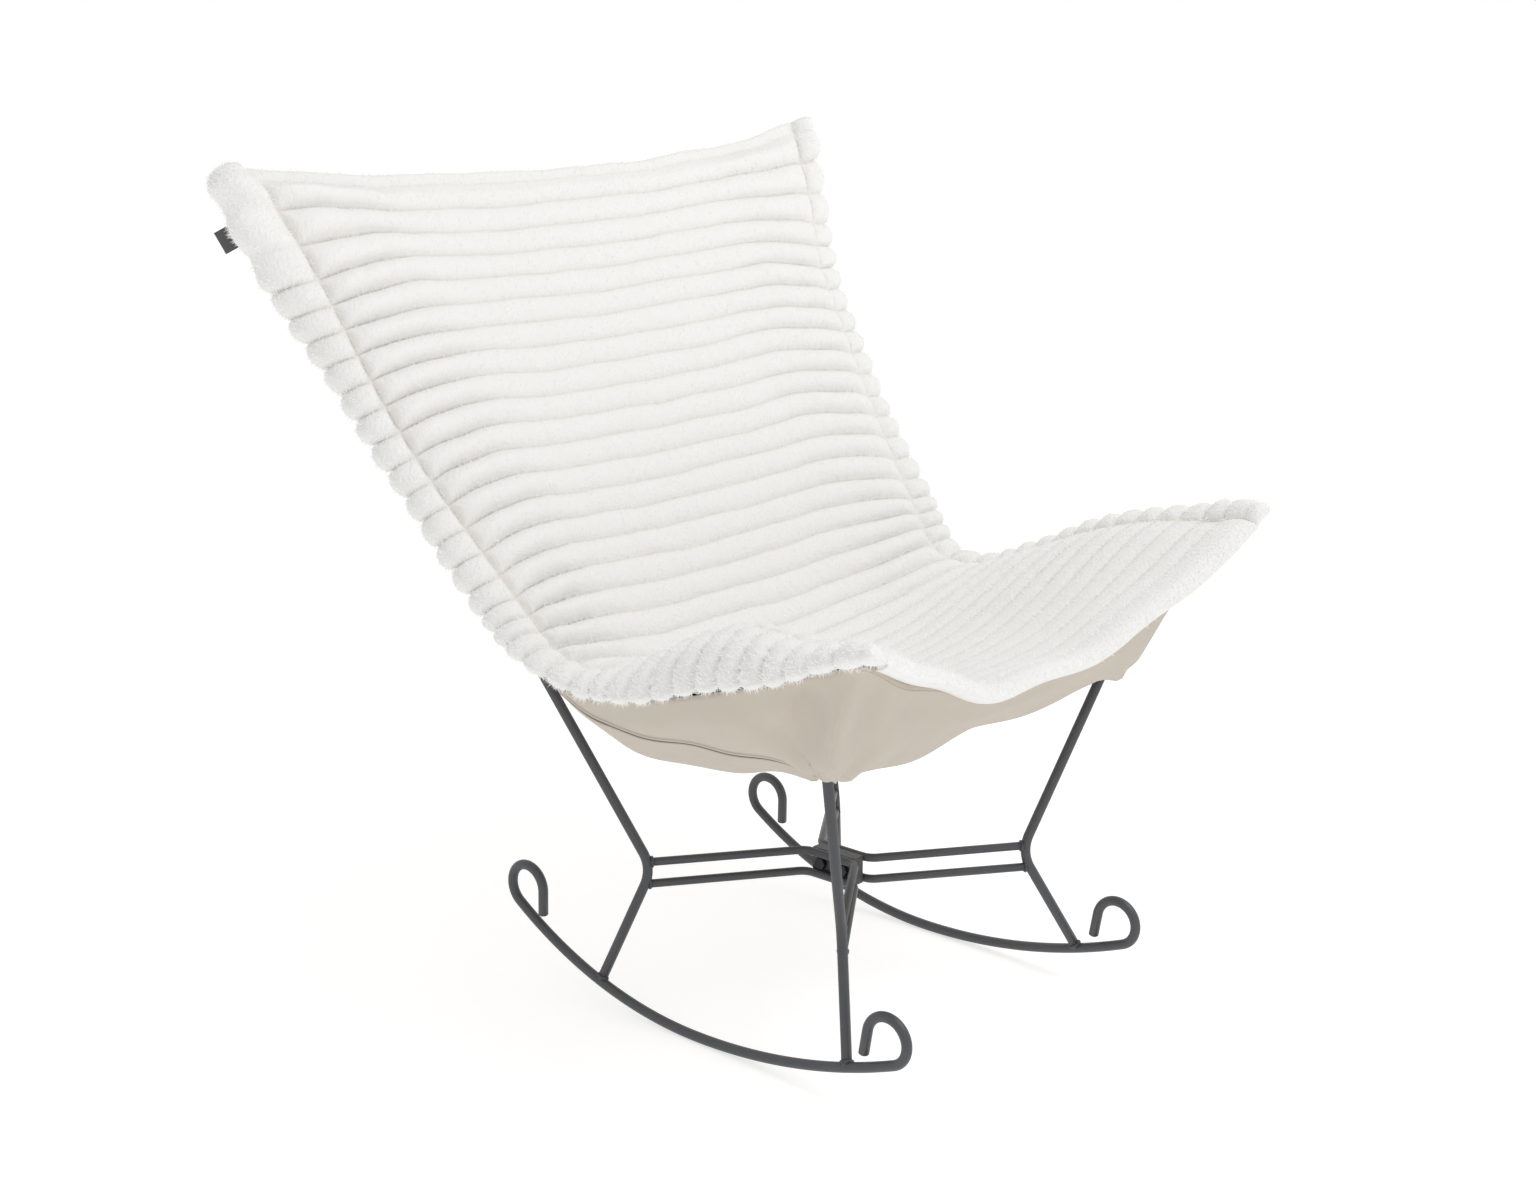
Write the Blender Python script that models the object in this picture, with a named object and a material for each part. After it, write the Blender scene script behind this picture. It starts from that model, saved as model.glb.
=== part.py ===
"""Upholstered rocking chair.

A bent-rod frame in two welded halves, bolted together at the middle, stands on two curled rockers.
Four rod ends hold a padded sling: a canvas underside, a loose fill and a channelled plush cover.
Metres, +Z up. The sitter faces -Y. The origin lies on the floor under the middle of the chair.
"""
import math

import bmesh
import bpy
from mathutils import Matrix, Vector

for old_object in list(bpy.data.objects):
    bpy.data.objects.remove(old_object, do_unlink=True)

# Rods and welds
ROD_DIAMETER = 0.012
STRETCHER_DIAMETER = 0.010
ROD_SIDES = 12
WELD_GAP = 0.0003
BEND_RADIUS = 0.020
BEND_STEPS = 4

# Rockers: a level stretch to stand on, an arc in front, a tighter one behind, and a curl at each end
ROCKER_HALF_SPACING = 0.218
ROCKER_RADIUS = 0.687
ROCKER_REAR_RADIUS = 0.370
ROCKER_BOTTOM_Y = 0.030
ROCKER_FRONT_END_Y = -0.258
ROCKER_REAR_END_Y = 0.322
ROCKER_FOOT_LENGTH = 0.208
ROCKER_STEP = 0.040
CURL_RADIUS = 0.027
CURL_TURN = math.radians(238.0)
CURL_STEPS = 14
CURL_TAIL = 0.030

# Uprights: each stands on a rocker, leans in to a knee and out again to its tip
KNEE_HALF_SPACING = 0.1675
KNEE_HEIGHT = 0.166
FRONT_KNEE_Y = -0.147
REAR_KNEE_Y = 0.145
FRONT_FOOT_Y = -0.198
REAR_FOOT_Y = 0.183
FRONT_LEAN_OUT = 0.398
FRONT_LEAN_FORWARD = 0.233
FRONT_TIP_HEIGHT = 0.442
FRONT_MOUTH_HEIGHT = 0.369

# Stretchers and the bolted hub
STRETCHER_MID_HEIGHT = 0.1605
STRETCHER_SPACING = 0.0265
HUB_PLATE_THICKNESS = 0.008
HUB_PLATE_LENGTH = 0.064
HUB_PLATE_HEIGHT = 0.034
HUB_STRAIGHT_LENGTH = 0.0746
BOLT_DIAMETER = 0.008
BOLT_HOLE_CLEARANCE = 0.0003
BOLT_SPACING = 0.034
BOLT_HEAD_WIDTH = 0.013
BOLT_HEAD_HEIGHT = 0.0053
NUT_HEIGHT = 0.0068
BOLT_END_PROUD = 0.003
SEAT_GAP = 0.0003

# Soft caps on the rod tips and the fabric pockets that they sit in
CAP_WALL = 0.0012
CAP_LENGTH = 0.018
CAP_END = 0.002
POCKET_WALL = 0.0015
FRONT_POCKET_INSET = 0.040
REAR_POCKET_LENGTH = 0.130
REAR_POCKET_MOUTH_HALF_WIDTH = 0.020
REAR_POCKET_TOP_HALF_WIDTH = 0.040
POCKET_REST = 0.0013
POCKET_SIDES = 16

# Sling: its side edge and its middle line, each a back line, a rounded corner and a seat line
EDGE_TOP_Y = 0.474
EDGE_TOP_HEIGHT = 0.972
EDGE_CORNER_Y = 0.090
EDGE_CORNER_HEIGHT = 0.441
EDGE_FRONT_Y = -0.336
EDGE_FRONT_HEIGHT = 0.556
EDGE_CORNER_RADIUS = 0.085
MIDDLE_TOP_Y = 0.488
MIDDLE_TOP_HEIGHT = 0.938
MIDDLE_CORNER_Y = 0.125
MIDDLE_CORNER_HEIGHT = 0.360
MIDDLE_FRONT_Y = -0.268
MIDDLE_FRONT_HEIGHT = 0.438
MIDDLE_CORNER_RADIUS = 0.140
SAG_POWER = 2.2
TOP_HALF_WIDTH = 0.494
SEAT_HALF_WIDTH = 0.370
BACK_TAPER_POWER = 1.5
BACK_EDGE_ROLL = 0.050
ROLL_ALONG_POWER = 1.5
ROLL_ACROSS_POWER = 4.5

# Plush cover: side-to-side channels, and a border outside a stitched line
CHANNELS = 34
COVER_BASE = 0.006
CHANNEL_HEIGHT = 0.012
STITCH_LINE = 0.885
BORDER_CREST = 0.945
STITCH_SHARE = 0.35
EDGE_SHARE = 0.5

# Fill and canvas underside: the canvas hangs slack under the fill
BACK_FILL = 0.004
SEAT_FILL = 0.040
FILL_RIM = 0.002
BACK_SLACK = 0.022
SEAT_SLACK = 0.035
RIM_SLACK = 0.003
SEAT_BLEND_LENGTH = 0.110
BACK_CROWN_POWER = 2
SEAT_CROWN_POWER = 3
POCKET_DROP_POWER = 1.5
FILL_TOP_TAPER = 0.100
FILL_FRONT_TAPER = 0.090
SEAT_FRONT_THINNING = 0.45
CORNER_THINNING = 0.95
CANVAS_THICKNESS = 0.002
CANVAS_GAP = 0.003
CANVAS_END_GAP = 0.0015
POCKET_MOUTH = 0.034
POCKET_MOUTH_OUTWARD = 0.010
POCKET_MOUTH_FORWARD = 0.006

# Blank tag sewn into the border of the back
TAG_WIDTH = 0.022
TAG_LENGTH = 0.026
TAG_THICKNESS = 0.0012
TAG_PLACE = 0.085

ROD_RADIUS = ROD_DIAMETER / 2
STRETCHER_RADIUS = STRETCHER_DIAMETER / 2
ROD_CORNER = 1 / math.cos(math.pi / ROD_SIDES)
ROD_CORNER_RADIUS = ROD_RADIUS * ROD_CORNER
STRETCHER_CORNER_RADIUS = STRETCHER_RADIUS * ROD_CORNER
CAP_BORE = ROD_CORNER_RADIUS + SEAT_GAP
CAP_RADIUS = CAP_BORE + CAP_WALL
POCKET_BORE = CAP_RADIUS * ROD_CORNER + SEAT_GAP
POCKET_RADIUS = POCKET_BORE + POCKET_WALL
SIDES = {"left": 1, "right": -1}


def material(name, colour, roughness, metallic=0.0):
    """A plain Principled material."""
    made = bpy.data.materials.new(name)
    made.use_nodes = True
    shader = made.node_tree.nodes["Principled BSDF"]
    shader.inputs["Base Color"].default_value = (*colour, 1.0)
    shader.inputs["Roughness"].default_value = roughness
    shader.inputs["Metallic"].default_value = metallic
    return made


POWDER_COAT = material("charcoal_powder_coat", (0.055, 0.057, 0.062), 0.45, 0.3)
ZINC = material("black_zinc", (0.07, 0.07, 0.075), 0.4, 0.9)
VINYL = material("black_vinyl", (0.03, 0.03, 0.03), 0.6)
PLUSH = material("white_plush", (0.88, 0.87, 0.85), 0.95)
CANVAS = material("beige_canvas", (0.60, 0.54, 0.47), 0.9)
FIBRE = material("white_fibre", (0.90, 0.90, 0.88), 1.0)
TAG_CLOTH = material("grey_tag_cloth", (0.12, 0.12, 0.125), 0.8)


def finish(name, mesh, surface, smooth_angle=None):
    """Turn a bmesh into a named object with its faces pointing out."""
    bmesh.ops.recalc_face_normals(mesh, faces=mesh.faces)
    data = bpy.data.meshes.new(name)
    mesh.to_mesh(data)
    mesh.free()
    data.materials.append(surface)
    if smooth_angle is not None:
        data.shade_smooth()
        data.set_sharp_from_angle(angle=math.radians(smooth_angle))
    made = bpy.data.objects.new(name, data)
    bpy.context.scene.collection.objects.link(made)
    return made


def mirrored(point, side):
    """A point of the left half, moved to the named side."""
    return Vector((point[0] * SIDES[side], point[1], point[2]))


def rounded_path(corners, radius, steps):
    """A path through the corners, with each inner corner replaced by an arc."""
    path = [corners[0]]
    for before, corner, after in zip(corners, corners[1:], corners[2:]):
        into = (before - corner).normalized()
        out = (after - corner).normalized()
        half_angle = into.angle(out) / 2
        reach = radius / math.tan(half_angle)
        centre = corner + (into + out).normalized() * radius / math.sin(half_angle)
        start = corner + into * reach - centre
        sweep = math.pi - 2 * half_angle
        axis = into.cross(out).normalized()
        for step in range(steps + 1):
            turn = Matrix.Rotation(-sweep * step / steps, 3, axis)
            path.append(centre + turn @ start)
    path.append(corners[-1])
    return path


def rod(name, path, radius, surface):
    """A round rod along a path, with flat sides of the stated radius and closed ends."""
    mesh = bmesh.new()
    corner_radius = radius * ROD_CORNER
    count = len(path)
    rings = []
    across = None
    for index, centre in enumerate(path):
        ahead = path[min(index + 1, count - 1)]
        behind = path[max(index - 1, 0)]
        along = (ahead - centre).normalized() + (centre - behind).normalized()
        along.normalize()
        if across is None:
            across = Vector((1, 0, 0)) if abs(along.x) < 0.7 else Vector((0, 0, 1))
        across = (across - along * across.dot(along)).normalized()
        upward = along.cross(across)
        ring = []
        for side in range(ROD_SIDES):
            angle = 2 * math.pi * (side + 0.5) / ROD_SIDES
            offset = across * math.cos(angle) + upward * math.sin(angle)
            ring.append(mesh.verts.new(centre + offset * corner_radius))
        rings.append(ring)
    for low, high in zip(rings, rings[1:]):
        for side in range(ROD_SIDES):
            after = (side + 1) % ROD_SIDES
            mesh.faces.new((low[side], low[after], high[after], high[side]))
    mesh.faces.new(rings[0])
    mesh.faces.new(rings[-1])
    return finish(name, mesh, surface, 40)


def rocker_height(y):
    """Height of the rocker's centre line, and its slope angle, at or outside the level stretch's ends."""
    foot_angle = math.asin(ROCKER_FOOT_LENGTH / 2 / ROCKER_RADIUS)
    if y < ROCKER_BOTTOM_Y:
        angle = math.asin((y - ROCKER_BOTTOM_Y) / ROCKER_RADIUS)
        return ROD_RADIUS + ROCKER_RADIUS * (math.cos(foot_angle) - math.cos(angle)), angle
    centre_y = ROCKER_BOTTOM_Y + (ROCKER_RADIUS - ROCKER_REAR_RADIUS) * math.sin(foot_angle)
    angle = math.asin((y - centre_y) / ROCKER_REAR_RADIUS)
    return ROD_RADIUS + ROCKER_REAR_RADIUS * (math.cos(foot_angle) - math.cos(angle)), angle


def curl_path(start, heading, turn_sense):
    """The hook at a rocker's end, in the rocker's plane, from its last point on the arc."""
    path = []
    y, z = start
    sweep = CURL_TURN / CURL_STEPS
    chord = 2 * CURL_RADIUS * math.sin(sweep / 2)
    for _ in range(CURL_STEPS):
        heading += turn_sense * sweep / 2
        y += chord * math.cos(heading)
        z += chord * math.sin(heading)
        heading += turn_sense * sweep / 2
        path.append((y, z))
    path.append((y + CURL_TAIL * math.cos(heading), z + CURL_TAIL * math.sin(heading)))
    return path


def rocker_arc():
    """The rocker's points between its curls, with a level stretch at the bottom to stand on."""
    half_foot = ROCKER_FOOT_LENGTH / 2
    forward_run = ROCKER_BOTTOM_Y - half_foot - ROCKER_FRONT_END_Y
    rear_run = ROCKER_REAR_END_Y - ROCKER_BOTTOM_Y - half_foot
    forward_steps = max(2, round(forward_run / ROCKER_STEP))
    rear_steps = max(2, round(rear_run / ROCKER_STEP))
    places = []
    for step in range(forward_steps + 1):
        places.append(ROCKER_FRONT_END_Y + forward_run * step / forward_steps)
    for step in range(rear_steps + 1):
        places.append(ROCKER_BOTTOM_Y + half_foot + rear_run * step / rear_steps)
    return [(y, rocker_height(y)[0]) for y in places]


def rocker_path(side):
    """The rocker's centre line from the front curl's tail to the rear curl's tail."""
    arc = rocker_arc()
    front_heading = math.pi + rocker_height(ROCKER_FRONT_END_Y)[1]
    rear_heading = rocker_height(ROCKER_REAR_END_Y)[1]
    front = curl_path(arc[0], front_heading, -1)
    rear = curl_path(arc[-1], rear_heading, 1)
    flat = front[::-1] + arc + rear
    return [mirrored((ROCKER_HALF_SPACING, y, z), side) for y, z in flat]


def foot_point(foot_y, knee):
    """Where an upright's lower end stops, just clear of the rocker that it is welded to."""
    arc = [Vector((ROCKER_HALF_SPACING, y, z)) for y, z in rocker_arc()]
    start, end = next(pair for pair in zip(arc, arc[1:]) if pair[1].y >= foot_y)
    tangent = (end - start).normalized()
    foot = start + tangent * ((foot_y - start.y) / tangent.y)
    leg = (knee - foot).normalized()
    lean = math.asin(abs(leg.dot(tangent)))
    reach = (ROD_CORNER_RADIUS * (1 + math.sin(lean)) + WELD_GAP) / math.cos(lean)
    return foot + leg * reach


def line_profile(top, corner, front, radius, fraction):
    """A point, as (y, z), a share of the way along a back line, a rounded corner and a seat line."""
    into = Vector(top) - Vector(corner)
    out = Vector(front) - Vector(corner)
    half_angle = into.angle(out) / 2
    reach = radius / math.tan(half_angle)
    sweep = math.pi - 2 * half_angle
    back_length = into.length - reach
    seat_length = out.length - reach
    arc_length = radius * sweep
    place = fraction * (back_length + arc_length + seat_length)
    into.normalize()
    out.normalize()
    if place <= back_length:
        return Vector(top) - into * place
    if place >= back_length + arc_length:
        return Vector(corner) + out * (reach + place - back_length - arc_length)
    centre = Vector(corner) + (into + out).normalized() * radius / math.sin(half_angle)
    start = Vector(corner) + into * reach - centre
    angle = -(place - back_length) / radius
    turned_y = start.x * math.cos(angle) - start.y * math.sin(angle)
    turned_z = start.x * math.sin(angle) + start.y * math.cos(angle)
    return centre + Vector((turned_y, turned_z))


EDGE_TOP = (EDGE_TOP_Y, EDGE_TOP_HEIGHT)
EDGE_CORNER = (EDGE_CORNER_Y, EDGE_CORNER_HEIGHT)
EDGE_FRONT = (EDGE_FRONT_Y, EDGE_FRONT_HEIGHT)
MIDDLE_TOP = (MIDDLE_TOP_Y, MIDDLE_TOP_HEIGHT)
MIDDLE_CORNER = (MIDDLE_CORNER_Y, MIDDLE_CORNER_HEIGHT)
MIDDLE_FRONT = (MIDDLE_FRONT_Y, MIDDLE_FRONT_HEIGHT)
BACK_RUN = (Vector(EDGE_TOP) - Vector(EDGE_CORNER)).length
SEAT_RUN = (Vector(EDGE_FRONT) - Vector(EDGE_CORNER)).length
SLING_LENGTH = BACK_RUN + SEAT_RUN
CORNER_PLACE = BACK_RUN / SLING_LENGTH
BACK_LINE = (Vector(EDGE_TOP) - Vector(EDGE_CORNER)).normalized()
BEHIND = Vector((BACK_LINE.y, -BACK_LINE.x))
FACE_STEP = 0.002
SEARCH_STEPS = 60


def half_width(place):
    """Half the sling's width at a share of the way from its top edge to its front edge."""
    above_seat = max(0.0, 1 - place / CORNER_PLACE)
    return SEAT_HALF_WIDTH + (TOP_HALF_WIDTH - SEAT_HALF_WIDTH) * above_seat ** BACK_TAPER_POWER


def edge_roll(across, place):
    """How far the back's side edges roll away from the sitter: most at half height, and only near the edge."""
    along = math.sin(math.pi * min(1.0, max(0.0, place / CORNER_PLACE))) ** ROLL_ALONG_POWER
    return BACK_EDGE_ROLL * along * abs(across) ** ROLL_ACROSS_POWER


def sling_point(across, place):
    """A point on the sling's reference face, the one that the plush cover lies on."""
    edge = line_profile(EDGE_TOP, EDGE_CORNER, EDGE_FRONT, EDGE_CORNER_RADIUS, place)
    middle = line_profile(MIDDLE_TOP, MIDDLE_CORNER, MIDDLE_FRONT, MIDDLE_CORNER_RADIUS, place)
    share = 1 - abs(across) ** SAG_POWER
    spot = edge + (middle - edge) * share + BEHIND * edge_roll(across, place)
    return Vector((across * half_width(place), spot.x, spot.y))


def sling_normal(across, place):
    """The reference face's normal, on the sitter's side."""
    low, high = max(-1, across - FACE_STEP), min(1, across + FACE_STEP)
    above, below = max(0, place - FACE_STEP), min(1, place + FACE_STEP)
    sideways = sling_point(high, place) - sling_point(low, place)
    downward = sling_point(across, below) - sling_point(across, above)
    return downward.cross(sideways).normalized()


def smooth_step(value):
    """0 below 0, 1 above 1, and smooth between."""
    value = min(1.0, max(0.0, value))
    return value * value * (3 - 2 * value)


FRONT_KNEE = Vector((KNEE_HALF_SPACING, FRONT_KNEE_Y, KNEE_HEIGHT))
REAR_KNEE = Vector((KNEE_HALF_SPACING, REAR_KNEE_Y, KNEE_HEIGHT))
FRONT_LEAN = Vector((FRONT_LEAN_OUT, -FRONT_LEAN_FORWARD, 1))
FRONT_TIP = FRONT_KNEE + FRONT_LEAN * (FRONT_TIP_HEIGHT - KNEE_HEIGHT)
FRONT_AXIS = FRONT_LEAN.normalized()
FRONT_MOUTH = FRONT_KNEE + FRONT_LEAN * (FRONT_MOUTH_HEIGHT - KNEE_HEIGHT)


def under_sling(spot):
    """Where a point under the sling lies: its share across, its place along and its depth."""
    across, place, depth = spot.x / SEAT_HALF_WIDTH, (1 + CORNER_PLACE) / 2, 0.0
    for _ in range(SEARCH_STEPS):
        face = sling_point(across, place)
        normal = sling_normal(across, place)
        depth = (face - spot).dot(normal)
        miss = spot - (face - normal * depth)
        along = (sling_point(across, place + FACE_STEP) - face) / FACE_STEP
        across += miss.x / half_width(place)
        place += miss.dot(along) / along.length_squared
    return across, place, depth


MOUTH_MIDDLE = FRONT_MOUTH + Vector((POCKET_MOUTH_OUTWARD, -POCKET_MOUTH_FORWARD, 0))
MOUTH_ACROSS, MOUTH_PLACE, MOUTH_DEPTH = under_sling(MOUTH_MIDDLE)


def seat_share(place):
    """0 on the back, 1 on the seat."""
    return smooth_step((place - CORNER_PLACE) * SLING_LENGTH / SEAT_BLEND_LENGTH + 0.5)


def forward_share(place):
    """How far forward on the seat a place lies: 0 at the corner, 1 at the front taper's start."""
    taper_start = 1 - FILL_FRONT_TAPER / SLING_LENGTH
    return min(1.0, max(0.0, (place - CORNER_PLACE) / (taper_start - CORNER_PLACE)))


def end_taper(place):
    """1 over most of the sling, falling to 0 at its top and front edges."""
    top = smooth_step(place * SLING_LENGTH / FILL_TOP_TAPER)
    front = min(1.0, (1 - place) * SLING_LENGTH / FILL_FRONT_TAPER)
    return min(top, front)


def pad_depth(across, place, rim, back_middle, seat_middle):
    """Depth under the reference face of a pad with a thin rim, from its depths at the middle."""
    forward = forward_share(place)
    back = back_middle * (1 - abs(across) ** BACK_CROWN_POWER)
    corner = 1 - CORNER_THINNING * (forward * across) ** 2
    seat = seat_middle * (1 - abs(across) ** SEAT_CROWN_POWER) * (1 - SEAT_FRONT_THINNING * forward) * corner
    return rim + (back + (seat - back) * seat_share(place)) * end_taper(place)


def fill_depth(across, place):
    """Depth of the fill under the reference face."""
    return pad_depth(across, place, FILL_RIM, BACK_FILL, SEAT_FILL)


def bag_depth(across, place):
    """Depth of the slack canvas under the reference face, away from the front pockets."""
    return pad_depth(across, place, FILL_RIM + RIM_SLACK, BACK_FILL + BACK_SLACK, SEAT_FILL + SEAT_SLACK)


def pocket_share(place):
    """How much of the front pockets' drop a place along the seat has."""
    return forward_share(place) ** POCKET_DROP_POWER * seat_share(place) * end_taper(place)


def canvas_depth(across, place):
    """Depth of the canvas under the reference face: slack, and drawn down to the front pockets."""
    reach = min(1.0, (1 - abs(across)) / (1 - STITCH_LINE))
    if abs(across) < MOUTH_ACROSS:
        pull = (across / MOUTH_ACROSS) ** 2
    else:
        pull = (1 - abs(across)) / (1 - MOUTH_ACROSS)
    row_end = min(1.0, min(place, 1 - place) * CHANNELS)
    inside = CANVAS_END_GAP + (bag_depth(across, place) + CANVAS_GAP - CANVAS_END_GAP) * row_end
    mouth_drop = MOUTH_DEPTH - bag_depth(MOUTH_ACROSS, MOUTH_PLACE) - CANVAS_GAP
    drop = mouth_drop * pull * pocket_share(place) / pocket_share(MOUTH_PLACE)
    return SEAT_GAP + (inside + drop - SEAT_GAP) * reach


def cell_triangles(across):
    """A cell's two triangles, as corner numbers, split the opposite way on the chair's two halves."""
    return ((0, 1, 2), (0, 2, 3)) if across < 0 else ((0, 1, 3), (1, 2, 3))


def grid_shell(name, columns, places, upper, lower, surface, holes=()):
    """A sheet with thickness, over a grid, with chosen cells left open."""
    mesh = bmesh.new()
    top = [[mesh.verts.new(upper(u, v)) for u in columns] for v in places]
    bottom = [[mesh.verts.new(lower(u, v)) for u in columns] for v in places]
    walls = {}
    for row in range(len(places) - 1):
        for column in range(len(columns) - 1):
            if (row, column) in holes:
                continue
            corners = [(row, column), (row, column + 1), (row + 1, column + 1), (row + 1, column)]
            for triangle in cell_triangles(columns[column]):
                spots = [corners[index] for index in triangle]
                mesh.faces.new([top[r][c] for r, c in spots])
                mesh.faces.new([bottom[r][c] for r, c in reversed(spots)])
            for start, end in zip(corners, corners[1:] + corners[:1]):
                if (end, start) in walls:
                    del walls[(end, start)]
                else:
                    walls[(start, end)] = True
    for (r, c), (next_r, next_c) in walls:
        mesh.faces.new((top[next_r][next_c], top[r][c], bottom[r][c]))
        mesh.faces.new((top[next_r][next_c], bottom[r][c], bottom[next_r][next_c]))
    return finish(name, mesh, surface, 50)


MOUTH_HALF = POCKET_MOUTH / 2
MOUTH_COLUMNS = [MOUTH_ACROSS - MOUTH_HALF / SEAT_HALF_WIDTH, MOUTH_ACROSS + MOUTH_HALF / SEAT_HALF_WIDTH]
INNER_COLUMN, OUTER_COLUMN = 0.35, 0.68
HALF_COLUMNS = [INNER_COLUMN, OUTER_COLUMN, STITCH_LINE, 1.0]
COVER_COLUMNS = [-u for u in reversed(HALF_COLUMNS)] + [0.0] + HALF_COLUMNS
FILL_COLUMNS = COVER_COLUMNS[1:-1]
CANVAS_HALF_COLUMNS = [INNER_COLUMN, *MOUTH_COLUMNS, STITCH_LINE, 1.0]
CANVAS_COLUMNS = [-u for u in reversed(CANVAS_HALF_COLUMNS)] + [0.0] + CANVAS_HALF_COLUMNS
CHANNEL_PLACES = [row / CHANNELS for row in range(CHANNELS + 1)]


def cover_height(across, row):
    """Thickness of the plush over the reference face, at a half-channel row."""
    crest = row % 2
    height = COVER_BASE + CHANNEL_HEIGHT * crest
    if abs(across) == 1.0:
        return height * EDGE_SHARE
    if abs(across) == STITCH_LINE:
        return height * STITCH_SHARE
    return height


def plush_cover():
    """The channelled cover, one cell row per half channel above and per channel below."""
    mesh = bmesh.new()
    border = sorted(COVER_COLUMNS + [-BORDER_CREST, BORDER_CREST])
    top = []
    for row in range(2 * CHANNELS + 1):
        place = row / (2 * CHANNELS)
        line = []
        for u in border:
            rise = sling_normal(u, place) * cover_height(u, row)
            line.append(mesh.verts.new(sling_point(u, place) + rise))
        top.append(line)
    bottom = [[mesh.verts.new(sling_point(u, place)) for u in COVER_COLUMNS] for place in CHANNEL_PLACES]

    for grid, columns in ((top, border), (bottom, COVER_COLUMNS)):
        for upper, lower in zip(grid, grid[1:]):
            for column, u in enumerate(columns[:-1]):
                corners = (upper[column], upper[column + 1], lower[column + 1], lower[column])
                for triangle in cell_triangles(u):
                    mesh.faces.new([corners[index] for index in triangle])
    for end in (0, -1):
        for row in range(CHANNELS):
            high, crest, low = (top[2 * row + step][end] for step in range(3))
            under_high, under_low = bottom[row][end], bottom[row + 1][end]
            mesh.faces.new((under_high, crest, high))
            mesh.faces.new((under_high, under_low, crest))
            mesh.faces.new((under_low, low, crest))
        above, below = top[end], bottom[end]
        for column in range(1, len(COVER_COLUMNS) - 2):
            start, after = above[column + 1], above[column + 2]
            mesh.faces.new((start, after, below[column + 1]))
            mesh.faces.new((start, below[column + 1], below[column]))
        for outer, crest, inner, low_outer, low_inner in (
            (above[0], above[1], above[2], below[0], below[1]),
            (above[-1], above[-2], above[-3], below[-1], below[-2]),
        ):
            mesh.faces.new((outer, crest, low_outer))
            mesh.faces.new((crest, low_inner, low_outer))
            mesh.faces.new((crest, inner, low_inner))
    return finish("plush_cover", mesh, PLUSH, 60)


def below_face(depth):
    """A point function: the reference face, lowered by a depth function."""
    return lambda u, v: sling_point(u, v) - sling_normal(u, v) * depth(u, v)


def cushion_fill():
    """The loose fill between the cover and the canvas."""
    upper = below_face(lambda u, v: SEAT_GAP)
    lower = below_face(fill_depth)
    return grid_shell("cushion_fill", FILL_COLUMNS, CHANNEL_PLACES[1:-1], upper, lower, FIBRE)


def canvas_sling():
    """The canvas underside, open where the two front rods go in."""
    half = MOUTH_HALF / SLING_LENGTH
    rows = [v for v in CHANNEL_PLACES if abs(v - MOUTH_PLACE) > 2 * half]
    rows = sorted(rows + [MOUTH_PLACE - half, MOUTH_PLACE + half])
    hole_row = rows.index(MOUTH_PLACE - half)
    right_column = CANVAS_COLUMNS.index(-MOUTH_COLUMNS[1])
    left_column = CANVAS_COLUMNS.index(MOUTH_COLUMNS[0])
    upper = below_face(canvas_depth)
    lower = below_face(lambda u, v: canvas_depth(u, v) + CANVAS_THICKNESS)
    holes = ((hole_row, right_column), (hole_row, left_column))
    return grid_shell("canvas_sling", CANVAS_COLUMNS, rows, upper, lower, CANVAS, holes)


REAR_TIP_ACROSS = STITCH_LINE - REAR_POCKET_TOP_HALF_WIDTH / TOP_HALF_WIDTH
REAR_TIP_PLACE = FILL_TOP_TAPER / SLING_LENGTH / 2


def rear_tip():
    """The rear rod's tip: behind the top corner of the canvas, where its pocket rests on the cloth."""
    depth = canvas_depth(REAR_TIP_ACROSS, REAR_TIP_PLACE) + CANVAS_THICKNESS + POCKET_REST + POCKET_RADIUS
    face = sling_point(REAR_TIP_ACROSS, REAR_TIP_PLACE)
    return face - sling_normal(REAR_TIP_ACROSS, REAR_TIP_PLACE) * depth


def axis_frame(tip, axis, facing):
    """A placement whose Z runs along an axis and whose Y looks as near as it can to a direction."""
    along = axis.normalized()
    outward = (facing - along * facing.dot(along)).normalized()
    sideways = outward.cross(along)
    turn = Matrix((sideways, outward, along)).transposed().to_4x4()
    return Matrix.Translation(tip) @ turn


def sleeve(name, placement, bore, length, end, mouth_half, top_half, thickness_half, sides, surface):
    """A closed-ended sleeve over a rod tip at the placement's origin, open downwards along -Z."""
    mesh = bmesh.new()

    def ring(half_x, half_y, z):
        spots = []
        for side in range(sides):
            angle = 2 * math.pi * (side + 0.5) / sides
            spot = Vector((half_x * math.cos(angle), half_y * math.sin(angle), z))
            spots.append(mesh.verts.new(placement @ spot))
        return spots

    top = end + SEAT_GAP
    mouth = top - length
    corner = 1 / math.cos(math.pi / sides)
    rings = [
        ring(bore * corner, bore * corner, SEAT_GAP),
        ring(bore * corner, bore * corner, mouth),
        ring(mouth_half * corner, thickness_half * corner, mouth),
        ring(top_half * corner, thickness_half * corner, top),
    ]
    for low, high in zip(rings, rings[1:]):
        for side in range(sides):
            after = (side + 1) % sides
            mesh.faces.new((low[side], low[after], high[after], high[side]))
    mesh.faces.new(rings[0])
    mesh.faces.new(rings[-1])
    return finish(name, mesh, surface, 50)


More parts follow.
